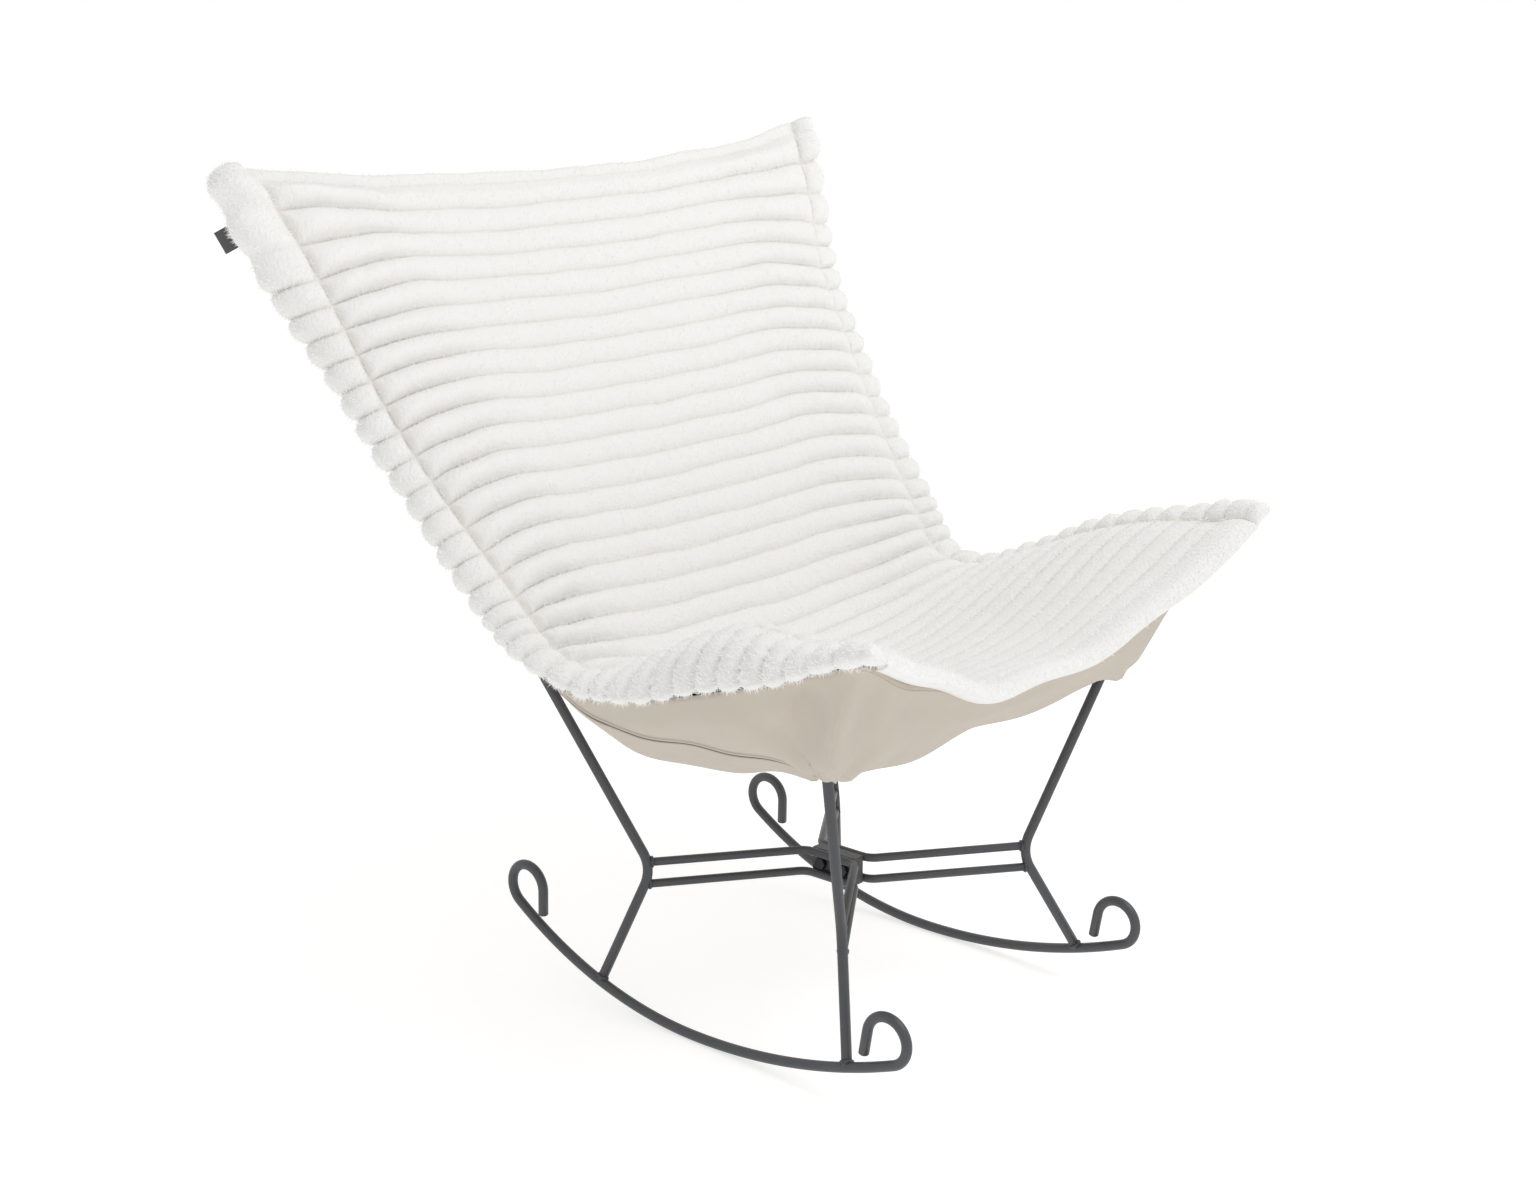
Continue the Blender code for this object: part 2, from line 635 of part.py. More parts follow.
def cap_and_pocket(place, side, tip, axis, facing, length, mouth_half, top_half):
    """The soft cap on a rod tip, and the fabric pocket over the cap."""
    frame = axis_frame(tip, axis, facing)
    sleeve(f"{place}_rod_cap_{side}", frame, CAP_BORE, CAP_LENGTH, CAP_END,
           CAP_RADIUS, CAP_RADIUS, CAP_RADIUS, ROD_SIDES, VINYL)
    over_cap = frame @ Matrix.Translation((0, 0, CAP_END + SEAT_GAP))
    sleeve(f"{place}_pocket_{side}", over_cap, POCKET_BORE, length, POCKET_WALL,
           mouth_half, top_half, POCKET_RADIUS, POCKET_SIDES, CANVAS)


def uprights(side):
    """The front and rear uprights of one half, with their caps and pockets."""
    front_corners = [foot_point(FRONT_FOOT_Y, FRONT_KNEE), FRONT_KNEE, FRONT_TIP]
    rear_end = rear_tip()
    rear_corners = [foot_point(REAR_FOOT_Y, REAR_KNEE), REAR_KNEE, rear_end]
    for place, corners in (("front", front_corners), ("rear", rear_corners)):
        moved = [mirrored(corner, side) for corner in corners]
        path = rounded_path(moved, BEND_RADIUS, BEND_STEPS)
        rod(f"{place}_upright_{side}", path, ROD_RADIUS, POWDER_COAT)
    front_axis = mirrored(FRONT_AXIS, side)
    covered = CAP_END + POCKET_WALL + 2 * SEAT_GAP + (FRONT_TIP - FRONT_MOUTH).length
    cap_and_pocket("front", side, mirrored(FRONT_TIP, side), front_axis, Vector((0, -1, 0)),
                   covered - FRONT_POCKET_INSET, POCKET_RADIUS, POCKET_RADIUS)
    rear_axis = mirrored(rear_end - REAR_KNEE, side)
    behind = -sling_normal(SIDES[side] * REAR_TIP_ACROSS, REAR_TIP_PLACE)
    cap_and_pocket("rear", side, mirrored(rear_end, side), rear_axis, behind,
                   REAR_POCKET_LENGTH, REAR_POCKET_MOUTH_HALF_WIDTH, REAR_POCKET_TOP_HALF_WIDTH)


STRETCHER_X = SEAT_GAP / 2 + HUB_PLATE_THICKNESS + WELD_GAP + STRETCHER_RADIUS


def weld_reach(direction, leg):
    """How far from an upright's axis a stretcher's square end stops."""
    slope = abs(direction.dot(leg) / leg.z)
    return ROD_CORNER_RADIUS * math.sqrt(1 + slope ** 2) + STRETCHER_CORNER_RADIUS * slope + WELD_GAP


def upright_at(knee, other_end, height):
    """The point on one leg of an upright at a height."""
    return knee + (other_end - knee) * ((height - knee.z) / (other_end.z - knee.z))


def stretchers(side):
    """The upper and lower stretchers of one half: knee, hub, knee."""
    half_hub = HUB_STRAIGHT_LENGTH / 2
    legs = {
        "upper": (REAR_KNEE, rear_tip(), FRONT_KNEE, FRONT_TIP, 0.5),
        "lower": (REAR_KNEE, foot_point(REAR_FOOT_Y, REAR_KNEE),
                  FRONT_KNEE, foot_point(FRONT_FOOT_Y, FRONT_KNEE), -0.5),
    }
    for level, (rear_knee, rear_end, front_knee, front_end, share) in legs.items():
        height = STRETCHER_MID_HEIGHT + share * STRETCHER_SPACING
        corners = []
        for knee, end, hub_y in ((rear_knee, rear_end, half_hub), (front_knee, front_end, -half_hub)):
            hub = Vector((STRETCHER_X, hub_y, height))
            weld = upright_at(knee, end, height)
            inward = (hub - weld).normalized()
            corners.append((weld + inward * weld_reach(inward, end - knee), hub))
        (rear_weld, rear_hub), (front_weld, front_hub) = corners
        line = [mirrored(spot, side) for spot in (rear_weld, rear_hub, front_hub, front_weld)]
        path = rounded_path(line, BEND_RADIUS, BEND_STEPS)
        rod(f"{level}_stretcher_{side}", path, STRETCHER_RADIUS, POWDER_COAT)


def prism(name, sides, radius, low, high, centre, surface, turn=0.0):
    """A prism along X about a centre line."""
    mesh = bmesh.new()
    rings = []
    for x in (low, high):
        ring = []
        for side in range(sides):
            angle = turn + 2 * math.pi * side / sides
            spot = (x, centre[0] + radius * math.cos(angle), centre[1] + radius * math.sin(angle))
            ring.append(mesh.verts.new(spot))
        rings.append(ring)
    for side in range(sides):
        after = (side + 1) % sides
        mesh.faces.new((rings[0][side], rings[0][after], rings[1][after], rings[1][side]))
    mesh.faces.new(rings[0])
    mesh.faces.new(rings[1])
    return finish(name, mesh, surface, 40)


def as_cutter(made):
    """Keep an object out of the finished chair: it only cuts or joins others."""
    made.hide_render = True
    made.hide_viewport = True
    made.display_type = "WIRE"
    return made


def combine(target, other, operation):
    """Cut an object by another, or join the other to it."""
    step = target.modifiers.new(operation.lower(), "BOOLEAN")
    step.operation = operation
    step.solver = "EXACT"
    step.object = as_cutter(other)


HUB_INNER = SEAT_GAP / 2
HUB_OUTER = HUB_INNER + HUB_PLATE_THICKNESS
HOLE_RADIUS = BOLT_DIAMETER / 2 + BOLT_HOLE_CLEARANCE
BOLT_PLACES = {"front": -BOLT_SPACING / 2, "rear": BOLT_SPACING / 2}


def hub_plate(side):
    """The flat bar between one half's stretchers, drilled for the two bolts."""
    mesh = bmesh.new()
    bmesh.ops.create_cube(mesh, size=1.0)
    size = (HUB_PLATE_THICKNESS, HUB_PLATE_LENGTH, HUB_PLATE_HEIGHT)
    centre = (SIDES[side] * (HUB_INNER + HUB_OUTER) / 2, 0, STRETCHER_MID_HEIGHT)
    bmesh.ops.scale(mesh, vec=size, verts=mesh.verts)
    bmesh.ops.translate(mesh, vec=centre, verts=mesh.verts)
    plate = finish(f"hub_plate_{side}", mesh, POWDER_COAT)
    for place, y in BOLT_PLACES.items():
        drill = prism(f"drill_{side}_{place}", ROD_SIDES, HOLE_RADIUS * ROD_CORNER, -2 * HUB_OUTER,
                      2 * HUB_OUTER, (y, STRETCHER_MID_HEIGHT), ZINC)
        combine(plate, drill, "DIFFERENCE")


def bolt_and_nut(place, y):
    """One hub bolt with its head on the right, and its nut on the left."""
    centre = (y, STRETCHER_MID_HEIGHT)
    head_radius = BOLT_HEAD_WIDTH / math.sqrt(3)
    seat = HUB_OUTER + SEAT_GAP
    nut_end = seat + NUT_HEIGHT
    shank = prism(f"hub_bolt_{place}", ROD_SIDES, BOLT_DIAMETER / 2, -seat - BOLT_HEAD_HEIGHT / 2,
                  nut_end + BOLT_END_PROUD, centre, ZINC)
    head = prism(f"bolt_head_{place}", 6, head_radius, -seat - BOLT_HEAD_HEIGHT, -seat, centre, ZINC)
    combine(shank, head, "UNION")
    nut = prism(f"hub_nut_{place}", 6, head_radius, seat, nut_end, centre, ZINC)
    thread = prism(f"thread_{place}", ROD_SIDES, HOLE_RADIUS * ROD_CORNER, 0, 2 * nut_end, centre, ZINC)
    combine(nut, thread, "DIFFERENCE")


def blank_tag():
    """A plain folded tag that stands out of the right-hand border of the back."""
    edge = sling_point(-1, TAG_PLACE)
    down = (sling_point(-1, TAG_PLACE + FACE_STEP) - edge).normalized()
    normal = sling_normal(-1, TAG_PLACE)
    outward = normal.cross(down).normalized()
    if outward.x > 0:
        outward = -outward
    normal = down.cross(outward)
    mesh = bmesh.new()
    bmesh.ops.create_cube(mesh, size=1.0)
    bmesh.ops.scale(mesh, vec=(TAG_WIDTH, TAG_LENGTH, TAG_THICKNESS), verts=mesh.verts)
    turn = Matrix((outward, down, normal)).transposed().to_4x4()
    centre = edge + outward * (TAG_WIDTH / 2 + 2 * SEAT_GAP)
    bmesh.ops.transform(mesh, matrix=Matrix.Translation(centre) @ turn, verts=mesh.verts)
    finish("blank_tag", mesh, TAG_CLOTH)


def stand_on_origin():
    """Put the chair's middle over the origin, by one parent for every piece."""
    pieces = [made for made in bpy.data.objects if made.type == "MESH"]
    shown = [made for made in pieces if not made.hide_render]
    depths = [vertex.co.y for made in shown for vertex in made.data.vertices]
    origin = bpy.data.objects.new("chair_origin", None)
    bpy.context.scene.collection.objects.link(origin)
    origin.location.y = -(min(depths) + max(depths)) / 2
    for made in pieces:
        made.parent = origin
    print("chair moved along Y by", round(origin.location.y, 5))


for half in SIDES:
    rod(f"rocker_{half}", rocker_path(half), ROD_RADIUS, POWDER_COAT)
    uprights(half)
    stretchers(half)
    hub_plate(half)
for bolt_place, bolt_y in BOLT_PLACES.items():
    bolt_and_nut(bolt_place, bolt_y)
plush_cover()
cushion_fill()
canvas_sling()
blank_tag()
stand_on_origin()
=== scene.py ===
# %% [markdown]
# A padded sling on a rocking frame
#
# This chair has two halves that ask for two ways of working. The bent-bar frame is hard and exact: its bars
# are swept again here with finer rounds, and only the hub, its bolts and the hidden rod caps are shown as the
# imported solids. The sling is soft: a plush cover sewn in side-to-side ribs, a slack canvas underside and a
# small tag. Those are built in the same place as their plain solids.
#
# Loading comes first.

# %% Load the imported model
import math

import bmesh
import bpy
import numpy as np
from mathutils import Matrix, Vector


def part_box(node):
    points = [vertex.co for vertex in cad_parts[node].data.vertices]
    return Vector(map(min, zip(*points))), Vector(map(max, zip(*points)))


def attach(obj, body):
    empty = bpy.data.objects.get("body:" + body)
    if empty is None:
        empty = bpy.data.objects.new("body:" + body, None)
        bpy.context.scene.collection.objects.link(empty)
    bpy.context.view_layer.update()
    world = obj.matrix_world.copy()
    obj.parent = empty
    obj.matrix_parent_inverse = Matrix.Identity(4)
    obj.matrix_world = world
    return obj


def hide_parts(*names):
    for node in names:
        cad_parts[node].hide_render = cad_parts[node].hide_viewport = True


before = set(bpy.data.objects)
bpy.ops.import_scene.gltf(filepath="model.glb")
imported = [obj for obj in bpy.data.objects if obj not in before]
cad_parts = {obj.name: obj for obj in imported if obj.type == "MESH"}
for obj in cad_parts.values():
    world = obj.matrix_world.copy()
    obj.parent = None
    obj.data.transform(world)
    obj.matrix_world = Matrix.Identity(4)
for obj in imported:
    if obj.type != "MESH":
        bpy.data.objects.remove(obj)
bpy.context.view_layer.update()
scene = bpy.context.scene
# The chair was drawn around its hub, so the hub's place along Y ties everything below to the solids.
HUB_Y = sum(corner.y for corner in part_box("hub_plate_left")) / 2
TO_WORLD = np.array((0.0, HUB_Y, 0.0))
print("solids", len(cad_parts), "hub at y", round(HUB_Y, 5))

# %% [markdown]
# Camera
#
# The camera decides what everything else is judged against, so it is set before any modelling. Its place,
# angle and lens were fitted to the rockers, the uprights and the mirrored corners of the sling, with the
# picture taken as 1536 by 1188. A lens can be guessed by eye, but a fit keeps both the near and the far side
# right at once.

# %% Camera
SENSOR_WIDTH, CAMERA_LENS = 36.0, 54.63
CAMERA_PLACE = (-1.9996, -1.6757, 1.1686)
CAMERA_ELEVATION, CAMERA_AZIMUTH = 14.523, -48.212

camera_data = bpy.data.cameras.new("photo_camera")
camera_data.sensor_width = SENSOR_WIDTH
camera_data.sensor_fit = "HORIZONTAL"
camera_data.lens = CAMERA_LENS
camera = bpy.data.objects.new("photo_camera", camera_data)
scene.collection.objects.link(camera)
camera.location = CAMERA_PLACE + TO_WORLD
camera.rotation_euler = (math.radians(90 - CAMERA_ELEVATION), 0, math.radians(CAMERA_AZIMUTH))
scene.camera = camera
print("camera at", [round(value, 3) for value in camera.location])

# %% [markdown]
# Node helpers
#
# The finishes and the repeated details below are node trees built in code. They could be drawn by hand in the
# node editors, but code shows every value in one place. One helper feeds a node's inputs, from a link or a
# plain value, one adds a node, and one adds a math node.

# %% Node helpers


def feed(tree, node, inputs):
    """Link a node's inputs to other sockets, or set their values, by name or number."""
    for key, value in inputs.items():
        if isinstance(value, bpy.types.NodeSocket):
            tree.links.new(value, node.inputs[key])
        else:
            node.inputs[key].default_value = value
    return node


def add_node(tree, kind, inputs=None, **settings):
    """A node with its settings and its inputs."""
    made = tree.nodes.new(kind)
    for key, value in settings.items():
        setattr(made, key, value)
    return feed(tree, made, inputs or {})


def maths(tree, operation, first, second=0.0, third=0.0, clamp=False):
    """The output of a math node."""
    inputs = {0: first, 1: second, 2: third}
    return add_node(tree, "ShaderNodeMath", inputs, operation=operation, use_clamp=clamp).outputs[0]


def shader_material(name, values):
    """A material, its node tree and its Principled shader, set to the values that are the same all over."""
    made = bpy.data.materials.new(name)
    made.use_nodes = True
    tree = made.node_tree
    return made, tree, feed(tree, tree.nodes["Principled BSDF"], values)


def mesh_object(name, mesh, material=None):
    """Link a mesh to the scene as an object at the origin."""
    made = bpy.data.objects.new(name, mesh)
    scene.collection.objects.link(made)
    if material is not None:
        mesh.materials.clear()
        mesh.materials.append(material)
    return made


print("node helpers ready")

# %% [markdown]
# Studio
#
# A white object on a white ground is all about small differences of light. An even white world gives each
# colour about the value that it is written with, and one wide lamp from above takes over part of that light,
# so that the ribs and the underside keep their shape. The world shows as plain white to the camera and to
# reflections, and lights the chair with less than that. More lamps would do too, but each would cast a shadow
# of its own.

# %% Floor
WHITE = (1, 1, 1, 1)
FLOOR_SIZE = 40.0
FLOOR_COLOUR, FLOOR_GLOW, FLOOR_ROUGHNESS = (0.62, 0.62, 0.62, 1), 0.62, 0.9

floor_material = shader_material("studio_floor", {
    "Base Color": FLOOR_COLOUR, "Emission Color": WHITE, "Emission Strength": FLOOR_GLOW,
    "Roughness": FLOOR_ROUGHNESS, "Specular IOR Level": 0.0})[0]
floor_mesh = bpy.data.meshes.new("studio_floor")
half = FLOOR_SIZE / 2
floor_corners = [(-half, -half, 0), (half, -half, 0), (half, half, 0), (-half, half, 0)]
floor_mesh.from_pydata(floor_corners, [], [(0, 1, 2, 3)])
mesh_object("studio_floor", floor_mesh, floor_material)
print("floor", FLOOR_SIZE, "m wide")

# %% World and lamp
WORLD_LIGHT = 0.66
LAMP_PLACE, LAMP_AIM = Vector((0.6, -1.7, 3.3)), Vector((0, 0, 0.4))
LAMP_SIZE, LAMP_POWER = 1.8, 44.0

world = bpy.data.worlds.new("studio_world")
world.use_nodes = True
scene.world = world
sky = world.node_tree
ambient = feed(sky, sky.nodes["Background"], {"Color": WHITE, "Strength": WORLD_LIGHT})
seen = add_node(sky, "ShaderNodeBackground", {"Color": WHITE, "Strength": 1.0})
ray = sky.nodes.new("ShaderNodeLightPath").outputs
direct = maths(sky, "MAXIMUM", ray["Is Camera Ray"], ray["Is Glossy Ray"])
direct = maths(sky, "MAXIMUM", direct, ray["Is Transmission Ray"])
mix = add_node(sky, "ShaderNodeMixShader", {0: direct, 1: ambient.outputs[0], 2: seen.outputs[0]})
feed(sky, sky.nodes["World Output"], {"Surface": mix.outputs[0]})

lamp_data = bpy.data.lights.new("overhead_lamp", "AREA")
lamp_data.size = LAMP_SIZE
lamp_data.energy = LAMP_POWER
lamp = bpy.data.objects.new("overhead_lamp", lamp_data)
lamp.location = LAMP_PLACE
lamp.rotation_euler = (LAMP_AIM - LAMP_PLACE).to_track_quat("-Z", "Y").to_euler()
scene.collection.objects.link(lamp)
scene.view_settings.view_transform = "Standard"
print("world light", WORLD_LIGHT, "lamp", LAMP_POWER)

# %% [markdown]
# The sling's surface
#
# The whole sling hangs on one smooth surface: a back line, a rounded corner and a seat line at its side
# edges, the same at its middle, and a sag between the two. It could be modelled by hand, but every soft piece
# reads its points from it, and a formula keeps the cover, the canvas and the tag in step. `across` runs from
# -1 to 1, from the right edge to the left one, and `along` from 0 at the top edge to 1 at the front edge.
# Numpy takes whole grids at once.

# %% Edge and middle lines
EDGE_LINE = ((0.474, 0.972), (0.090, 0.441), (-0.336, 0.556), 0.085)
MIDDLE_LINE = ((0.488, 0.938), (0.125, 0.360), (-0.268, 0.438), 0.140)


def unit(vectors):
    """Vectors of length one."""
    return vectors / np.linalg.norm(vectors, axis=-1, keepdims=True)


def line_profile(line, along):
    """Points, as (y, z), along a back line, a rounded corner and a seat line."""
    top, corner, front = (np.array(spot) for spot in line[:3])
    radius = line[3]
    back_way, seat_way = unit(top - corner), unit(front - corner)
    half_angle = math.acos(back_way @ seat_way) / 2
    reach = radius / math.tan(half_angle)
    back = np.linalg.norm(top - corner) - reach
    arc = radius * (math.pi - 2 * half_angle)
    seat = np.linalg.norm(front - corner) - reach
    place = along * (back + arc + seat)
    centre = corner + unit(back_way + seat_way) * radius / math.sin(half_angle)
    start = corner + back_way * reach - centre
    angle = (back - np.clip(place, back, back + arc)) / radius
    turned = np.stack([start[0] * np.cos(angle) - start[1] * np.sin(angle),
                       start[0] * np.sin(angle) + start[1] * np.cos(angle)], axis=-1)
    above = np.maximum(0, back - place)[..., None]
    beyond = np.maximum(0, place - back - arc)[..., None]
    return centre + turned + back_way * above + seat_way * beyond


BACK_RUN, SEAT_RUN = math.dist(EDGE_LINE[0], EDGE_LINE[1]), math.dist(EDGE_LINE[1], EDGE_LINE[2])
SLING_LENGTH = BACK_RUN + SEAT_RUN
CORNER_PLACE = BACK_RUN / SLING_LENGTH
BACK_LINE = unit(np.array(EDGE_LINE[0]) - np.array(EDGE_LINE[1]))
BEHIND = np.array((BACK_LINE[1], -BACK_LINE[0]))
print("sling length", round(SLING_LENGTH, 3), "corner at", round(CORNER_PLACE, 3))

# %% [markdown]
# From the lines to a surface
#
# The sling is widest at the top and narrows down the back to the seat. Between its side edges and its middle
# it sags like a hammock, and the side edges of the back roll away from the sitter. Its directions at a point
# could be worked out as derivatives, but two short steps on the surface give them too, and serve any surface.

# %% Sling surface
SAG_POWER = 2.2
TOP_HALF_WIDTH, SEAT_HALF_WIDTH = 0.494, 0.370
BACK_TAPER_POWER = 1.5
BACK_EDGE_ROLL, ROLL_ALONG_POWER, ROLL_ACROSS_POWER = 0.050, 1.5, 4.5
FACE_STEP = 0.002


def half_width(along):
    """Half the sling's width."""
    above_seat = np.clip(1 - along / CORNER_PLACE, 0, 1)
    return SEAT_HALF_WIDTH + (TOP_HALF_WIDTH - SEAT_HALF_WIDTH) * above_seat ** BACK_TAPER_POWER


def sling(across, along):
    """Points on the sling's surface. The side edges of the back roll away from the sitter."""
    across, along = np.broadcast_arrays(np.asarray(across, float), np.asarray(along, float))
    edge, middle = line_profile(EDGE_LINE, along), line_profile(MIDDLE_LINE, along)
    side = np.minimum(np.abs(across), 1)
    share = 1 - side ** SAG_POWER
    half_turn = np.maximum(0, np.sin(math.pi * np.clip(along / CORNER_PLACE, 0, 1)))
    roll = BACK_EDGE_ROLL * half_turn ** ROLL_ALONG_POWER * side ** ROLL_ACROSS_POWER
    spot = edge + (middle - edge) * share[..., None] + BEHIND * roll[..., None]
    return np.stack([across * half_width(along), spot[..., 0] + HUB_Y, spot[..., 1]], axis=-1)


def axes_of(surface, across, along):
    """Unit vectors at points of a surface: to the left, towards the front edge, and up to the sitter."""
    left = unit(surface(across + FACE_STEP, along) - surface(across - FACE_STEP, along))
    forward = unit(surface(across, along + FACE_STEP) - surface(across, along - FACE_STEP))
    return left, forward, unit(np.cross(forward, left))


def sling_axes(across, along):
    """The axes at points of the sling's surface, kept just inside its edges."""
    inside = 1 - FACE_STEP
    return axes_of(sling, np.clip(across, -inside, inside), np.clip(along, FACE_STEP, inside))


print("width at the top", round(2 * float(half_width(0.0)), 3), "at the seat", 2 * SEAT_HALF_WIDTH)

# %% [markdown]
# Shared finishes
#
# Two effects serve more than one material, so each is a node group. `fine_relief` is a two-scale grain, for
# the skin of the powder coat, the pile and the nap of cloth. `plain_weave` is over-and-under thread, for the
# canvas, the tag and the zip. The same nodes could be copied into each material, but a group is built once
# and takes its own values in each. Both only put out values; the shader itself stays in each material.

# %% Shader groups
FLOAT, INTEGER, VECTOR = "NodeSocketFloat", "NodeSocketInt", "NodeSocketVector"


def new_tree(name, kind, inputs, outputs):
    """A node group, its inputs' sockets and its output node. An input is given by its value or its kind."""
    tree = bpy.data.node_groups.new(name, kind)
    for label, value in inputs.items():
        socket_kind = {float: FLOAT, int: INTEGER}.get(type(value), value)
        socket = tree.interface.new_socket(label, in_out="INPUT", socket_type=socket_kind)
        if socket_kind != value:
            socket.default_value = value
    for label, socket_kind in outputs.items():
        tree.interface.new_socket(label, in_out="OUTPUT", socket_type=socket_kind)
    return tree, tree.nodes.new("NodeGroupInput").outputs, tree.nodes.new("NodeGroupOutput")


def fine_relief_group():
    """Grain at two scales."""
    tree, given, result = new_tree("fine_relief", "ShaderNodeTree",
                                   {"Vector": VECTOR, "Coarse": 60.0, "Fine": 600.0, "Fine share": 0.5},
                                   {"Height": FLOAT, "Patches": FLOAT})

    def noise(scale, detail, roughness):
        return add_node(tree, "ShaderNodeTexNoise", {"Vector": given["Vector"], "Scale": given[scale],
                                                     "Detail": detail, "Roughness": roughness}).outputs[0]

    coarse, fine = noise("Coarse", detail=3.0, roughness=0.55), noise("Fine", detail=2.0, roughness=0.6)
    height = add_node(tree, "ShaderNodeMix", {0: given["Fine share"], 2: coarse, 3: fine})
    feed(tree, result, {"Height": height.outputs[0], "Patches": coarse})
    return tree


def plain_weave_group():
    """Threads that pass over and under each other."""
    tree, given, result = new_tree("plain_weave", "ShaderNodeTree",
                                   {"Vector": VECTOR, "Threads per metre": 1100.0},
                                   {"Height": FLOAT, "Gaps": FLOAT})
    parts = add_node(tree, "ShaderNodeSeparateXYZ", {0: given["Vector"]})
    turn = maths(tree, "MULTIPLY", given["Threads per metre"], math.pi)
    x, y = (maths(tree, "MULTIPLY", parts.outputs[axis], turn) for axis in ("X", "Y"))
    warp, weft = (maths(tree, "ABSOLUTE", maths(tree, "SINE", value)) for value in (x, y))
    over = maths(tree, "MULTIPLY", maths(tree, "COSINE", x), maths(tree, "COSINE", y))
    share = maths(tree, "MULTIPLY_ADD", over, 0.5, 0.5)
    height = add_node(tree, "ShaderNodeMix", {0: share, 2: warp, 3: weft})
    gaps = maths(tree, "SUBTRACT", 1.0, maths(tree, "MULTIPLY", warp, weft))
    feed(tree, result, {"Height": height.outputs[0], "Gaps": gaps})
    return tree


FINE_RELIEF, PLAIN_WEAVE = fine_relief_group(), plain_weave_group()
print("groups", FINE_RELIEF.name, PLAIN_WEAVE.name)

# %% Helpers for materials


def place_group(tree, group, inputs):
    """The outputs of a shader group placed in a material."""
    return add_node(tree, "ShaderNodeGroup", inputs, node_tree=group).outputs


def bump(tree, height, distance, strength):
    """A normal from a height."""
    inputs = {"Height": height, "Distance": distance, "Strength": strength}
    return add_node(tree, "ShaderNodeBump", inputs).outputs[0]


def mix_colours(tree, share, first, second):
    """A mix of two colours."""
    return add_node(tree, "ShaderNodeMix", {0: share, 6: first, 7: second}, data_type="RGBA").outputs[2]


print("material helpers ready")

# %% [markdown]
# Frame finish
#
# The bars are round steel with a charcoal powder coat. Powder coat melts into a skin that is never quite
# flat: a soft orange-peel relief, a little rougher in places, which noise in the shader gives without any
# more faces. The bolts are darker zinc and the hidden caps are vinyl. Every solid gets its finish here, also
# those that a finer piece stands for later.

# %% Powder coat, zinc and vinyl
PEEL_GRAIN = {"Coarse": 45.0, "Fine": 750.0, "Fine share": 0.6}
PEEL_DEPTH, PEEL_STRENGTH = 0.00025, 0.6
GLOSS_RANGE = 0.22
WORN_SHARE, WORN_LEAST = 0.5, 0.1


def coated_metal(name, colour, worn, roughness, metallic):
    """A finish with a fine relief and slightly uneven gloss."""
    made, tree, shader = shader_material(name, {"Metallic": metallic})
    place = tree.nodes.new("ShaderNodeTexCoord").outputs["Object"]
    grain = place_group(tree, FINE_RELIEF, {"Vector": place, **PEEL_GRAIN})
    patches = maths(tree, "MULTIPLY_ADD", grain["Patches"], WORN_SHARE, WORN_LEAST, clamp=True)
    feed(tree, shader, {
        "Base Color": mix_colours(tree, patches, colour, worn),
        "Roughness": maths(tree, "MULTIPLY_ADD", grain["Height"], GLOSS_RANGE, roughness - GLOSS_RANGE / 2),
        "Normal": bump(tree, grain["Height"], PEEL_DEPTH, PEEL_STRENGTH)})
    return made


POWDER_COAT = coated_metal("charcoal_powder_coat", (0.050, 0.052, 0.057, 1), (0.072, 0.074, 0.080, 1),
                           roughness=0.42, metallic=0.0)
BLACK_ZINC = coated_metal("black_zinc", (0.030, 0.030, 0.033, 1), (0.060, 0.060, 0.064, 1),
                          roughness=0.36, metallic=0.85)
BLACK_VINYL = coated_metal("black_vinyl", (0.020, 0.020, 0.020, 1), (0.032, 0.032, 0.032, 1),
                           roughness=0.62, metallic=0.0)
for node_name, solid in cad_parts.items():
    if node_name.startswith(("hub_bolt", "hub_nut")):
        finish = BLACK_ZINC
    elif "rod_cap" in node_name:
        finish = BLACK_VINYL
    else:
        finish = POWDER_COAT
    solid.data.materials.clear()
    solid.data.materials.append(finish)
print("frame solids finished")

# %% [markdown]
# How the padding settles
#
# A filled cover never hangs as evenly as the frame that carries it. In the photograph the near side of the
# seat swells into a crest with its border hanging outside it, the far side stands up in a softer hump, the
# front hem is lifted beside the near corner, and the borders of the back fold round behind the stitched line.
# Sculpting could shape this, but shifts written as smooth hills can be read and changed one at a time. A hill
# is given by where it starts, peaks and ends, and a slope by where it starts or ends and its length, all as
# shares of the sling.

# %% Stitched line
STITCH_LINE = 0.885
BACK_STITCH_SHIFT, BACK_STITCH_HILL = 0.040, (0.06, 0.30, 0.66)
FAR_SEAT_STITCH_SHIFT, FAR_SEAT_STITCH_SLOPE = 0.055, (0.54, 0.10)
FAR_TOP_STITCH_SHIFT, FAR_TOP_STITCH_SLOPE = 0.060, (0.24, 0.18)
NEAR_SEAT_STITCH_SHIFT, NEAR_SEAT_STITCH_HILL = -0.115, (0.56, 0.76, 1.04)


def smooth_step(value):
    """0 to 1 without a corner."""
    value = np.clip(value, 0, 1)
    return value * value * (3 - 2 * value)


def rising(value, start, length):
    """A smooth slope from 0 at its start to 1."""
    return smooth_step((value - start) / length)


def falling(value, end, length):
    """A smooth slope from 1 to 0 at its end."""
    return smooth_step((end - value) / length)


def hill(value, start, peak, end):
    """A smooth hill from start to end."""
    return rising(value, start, peak - start) * falling(value, end, end - peak)


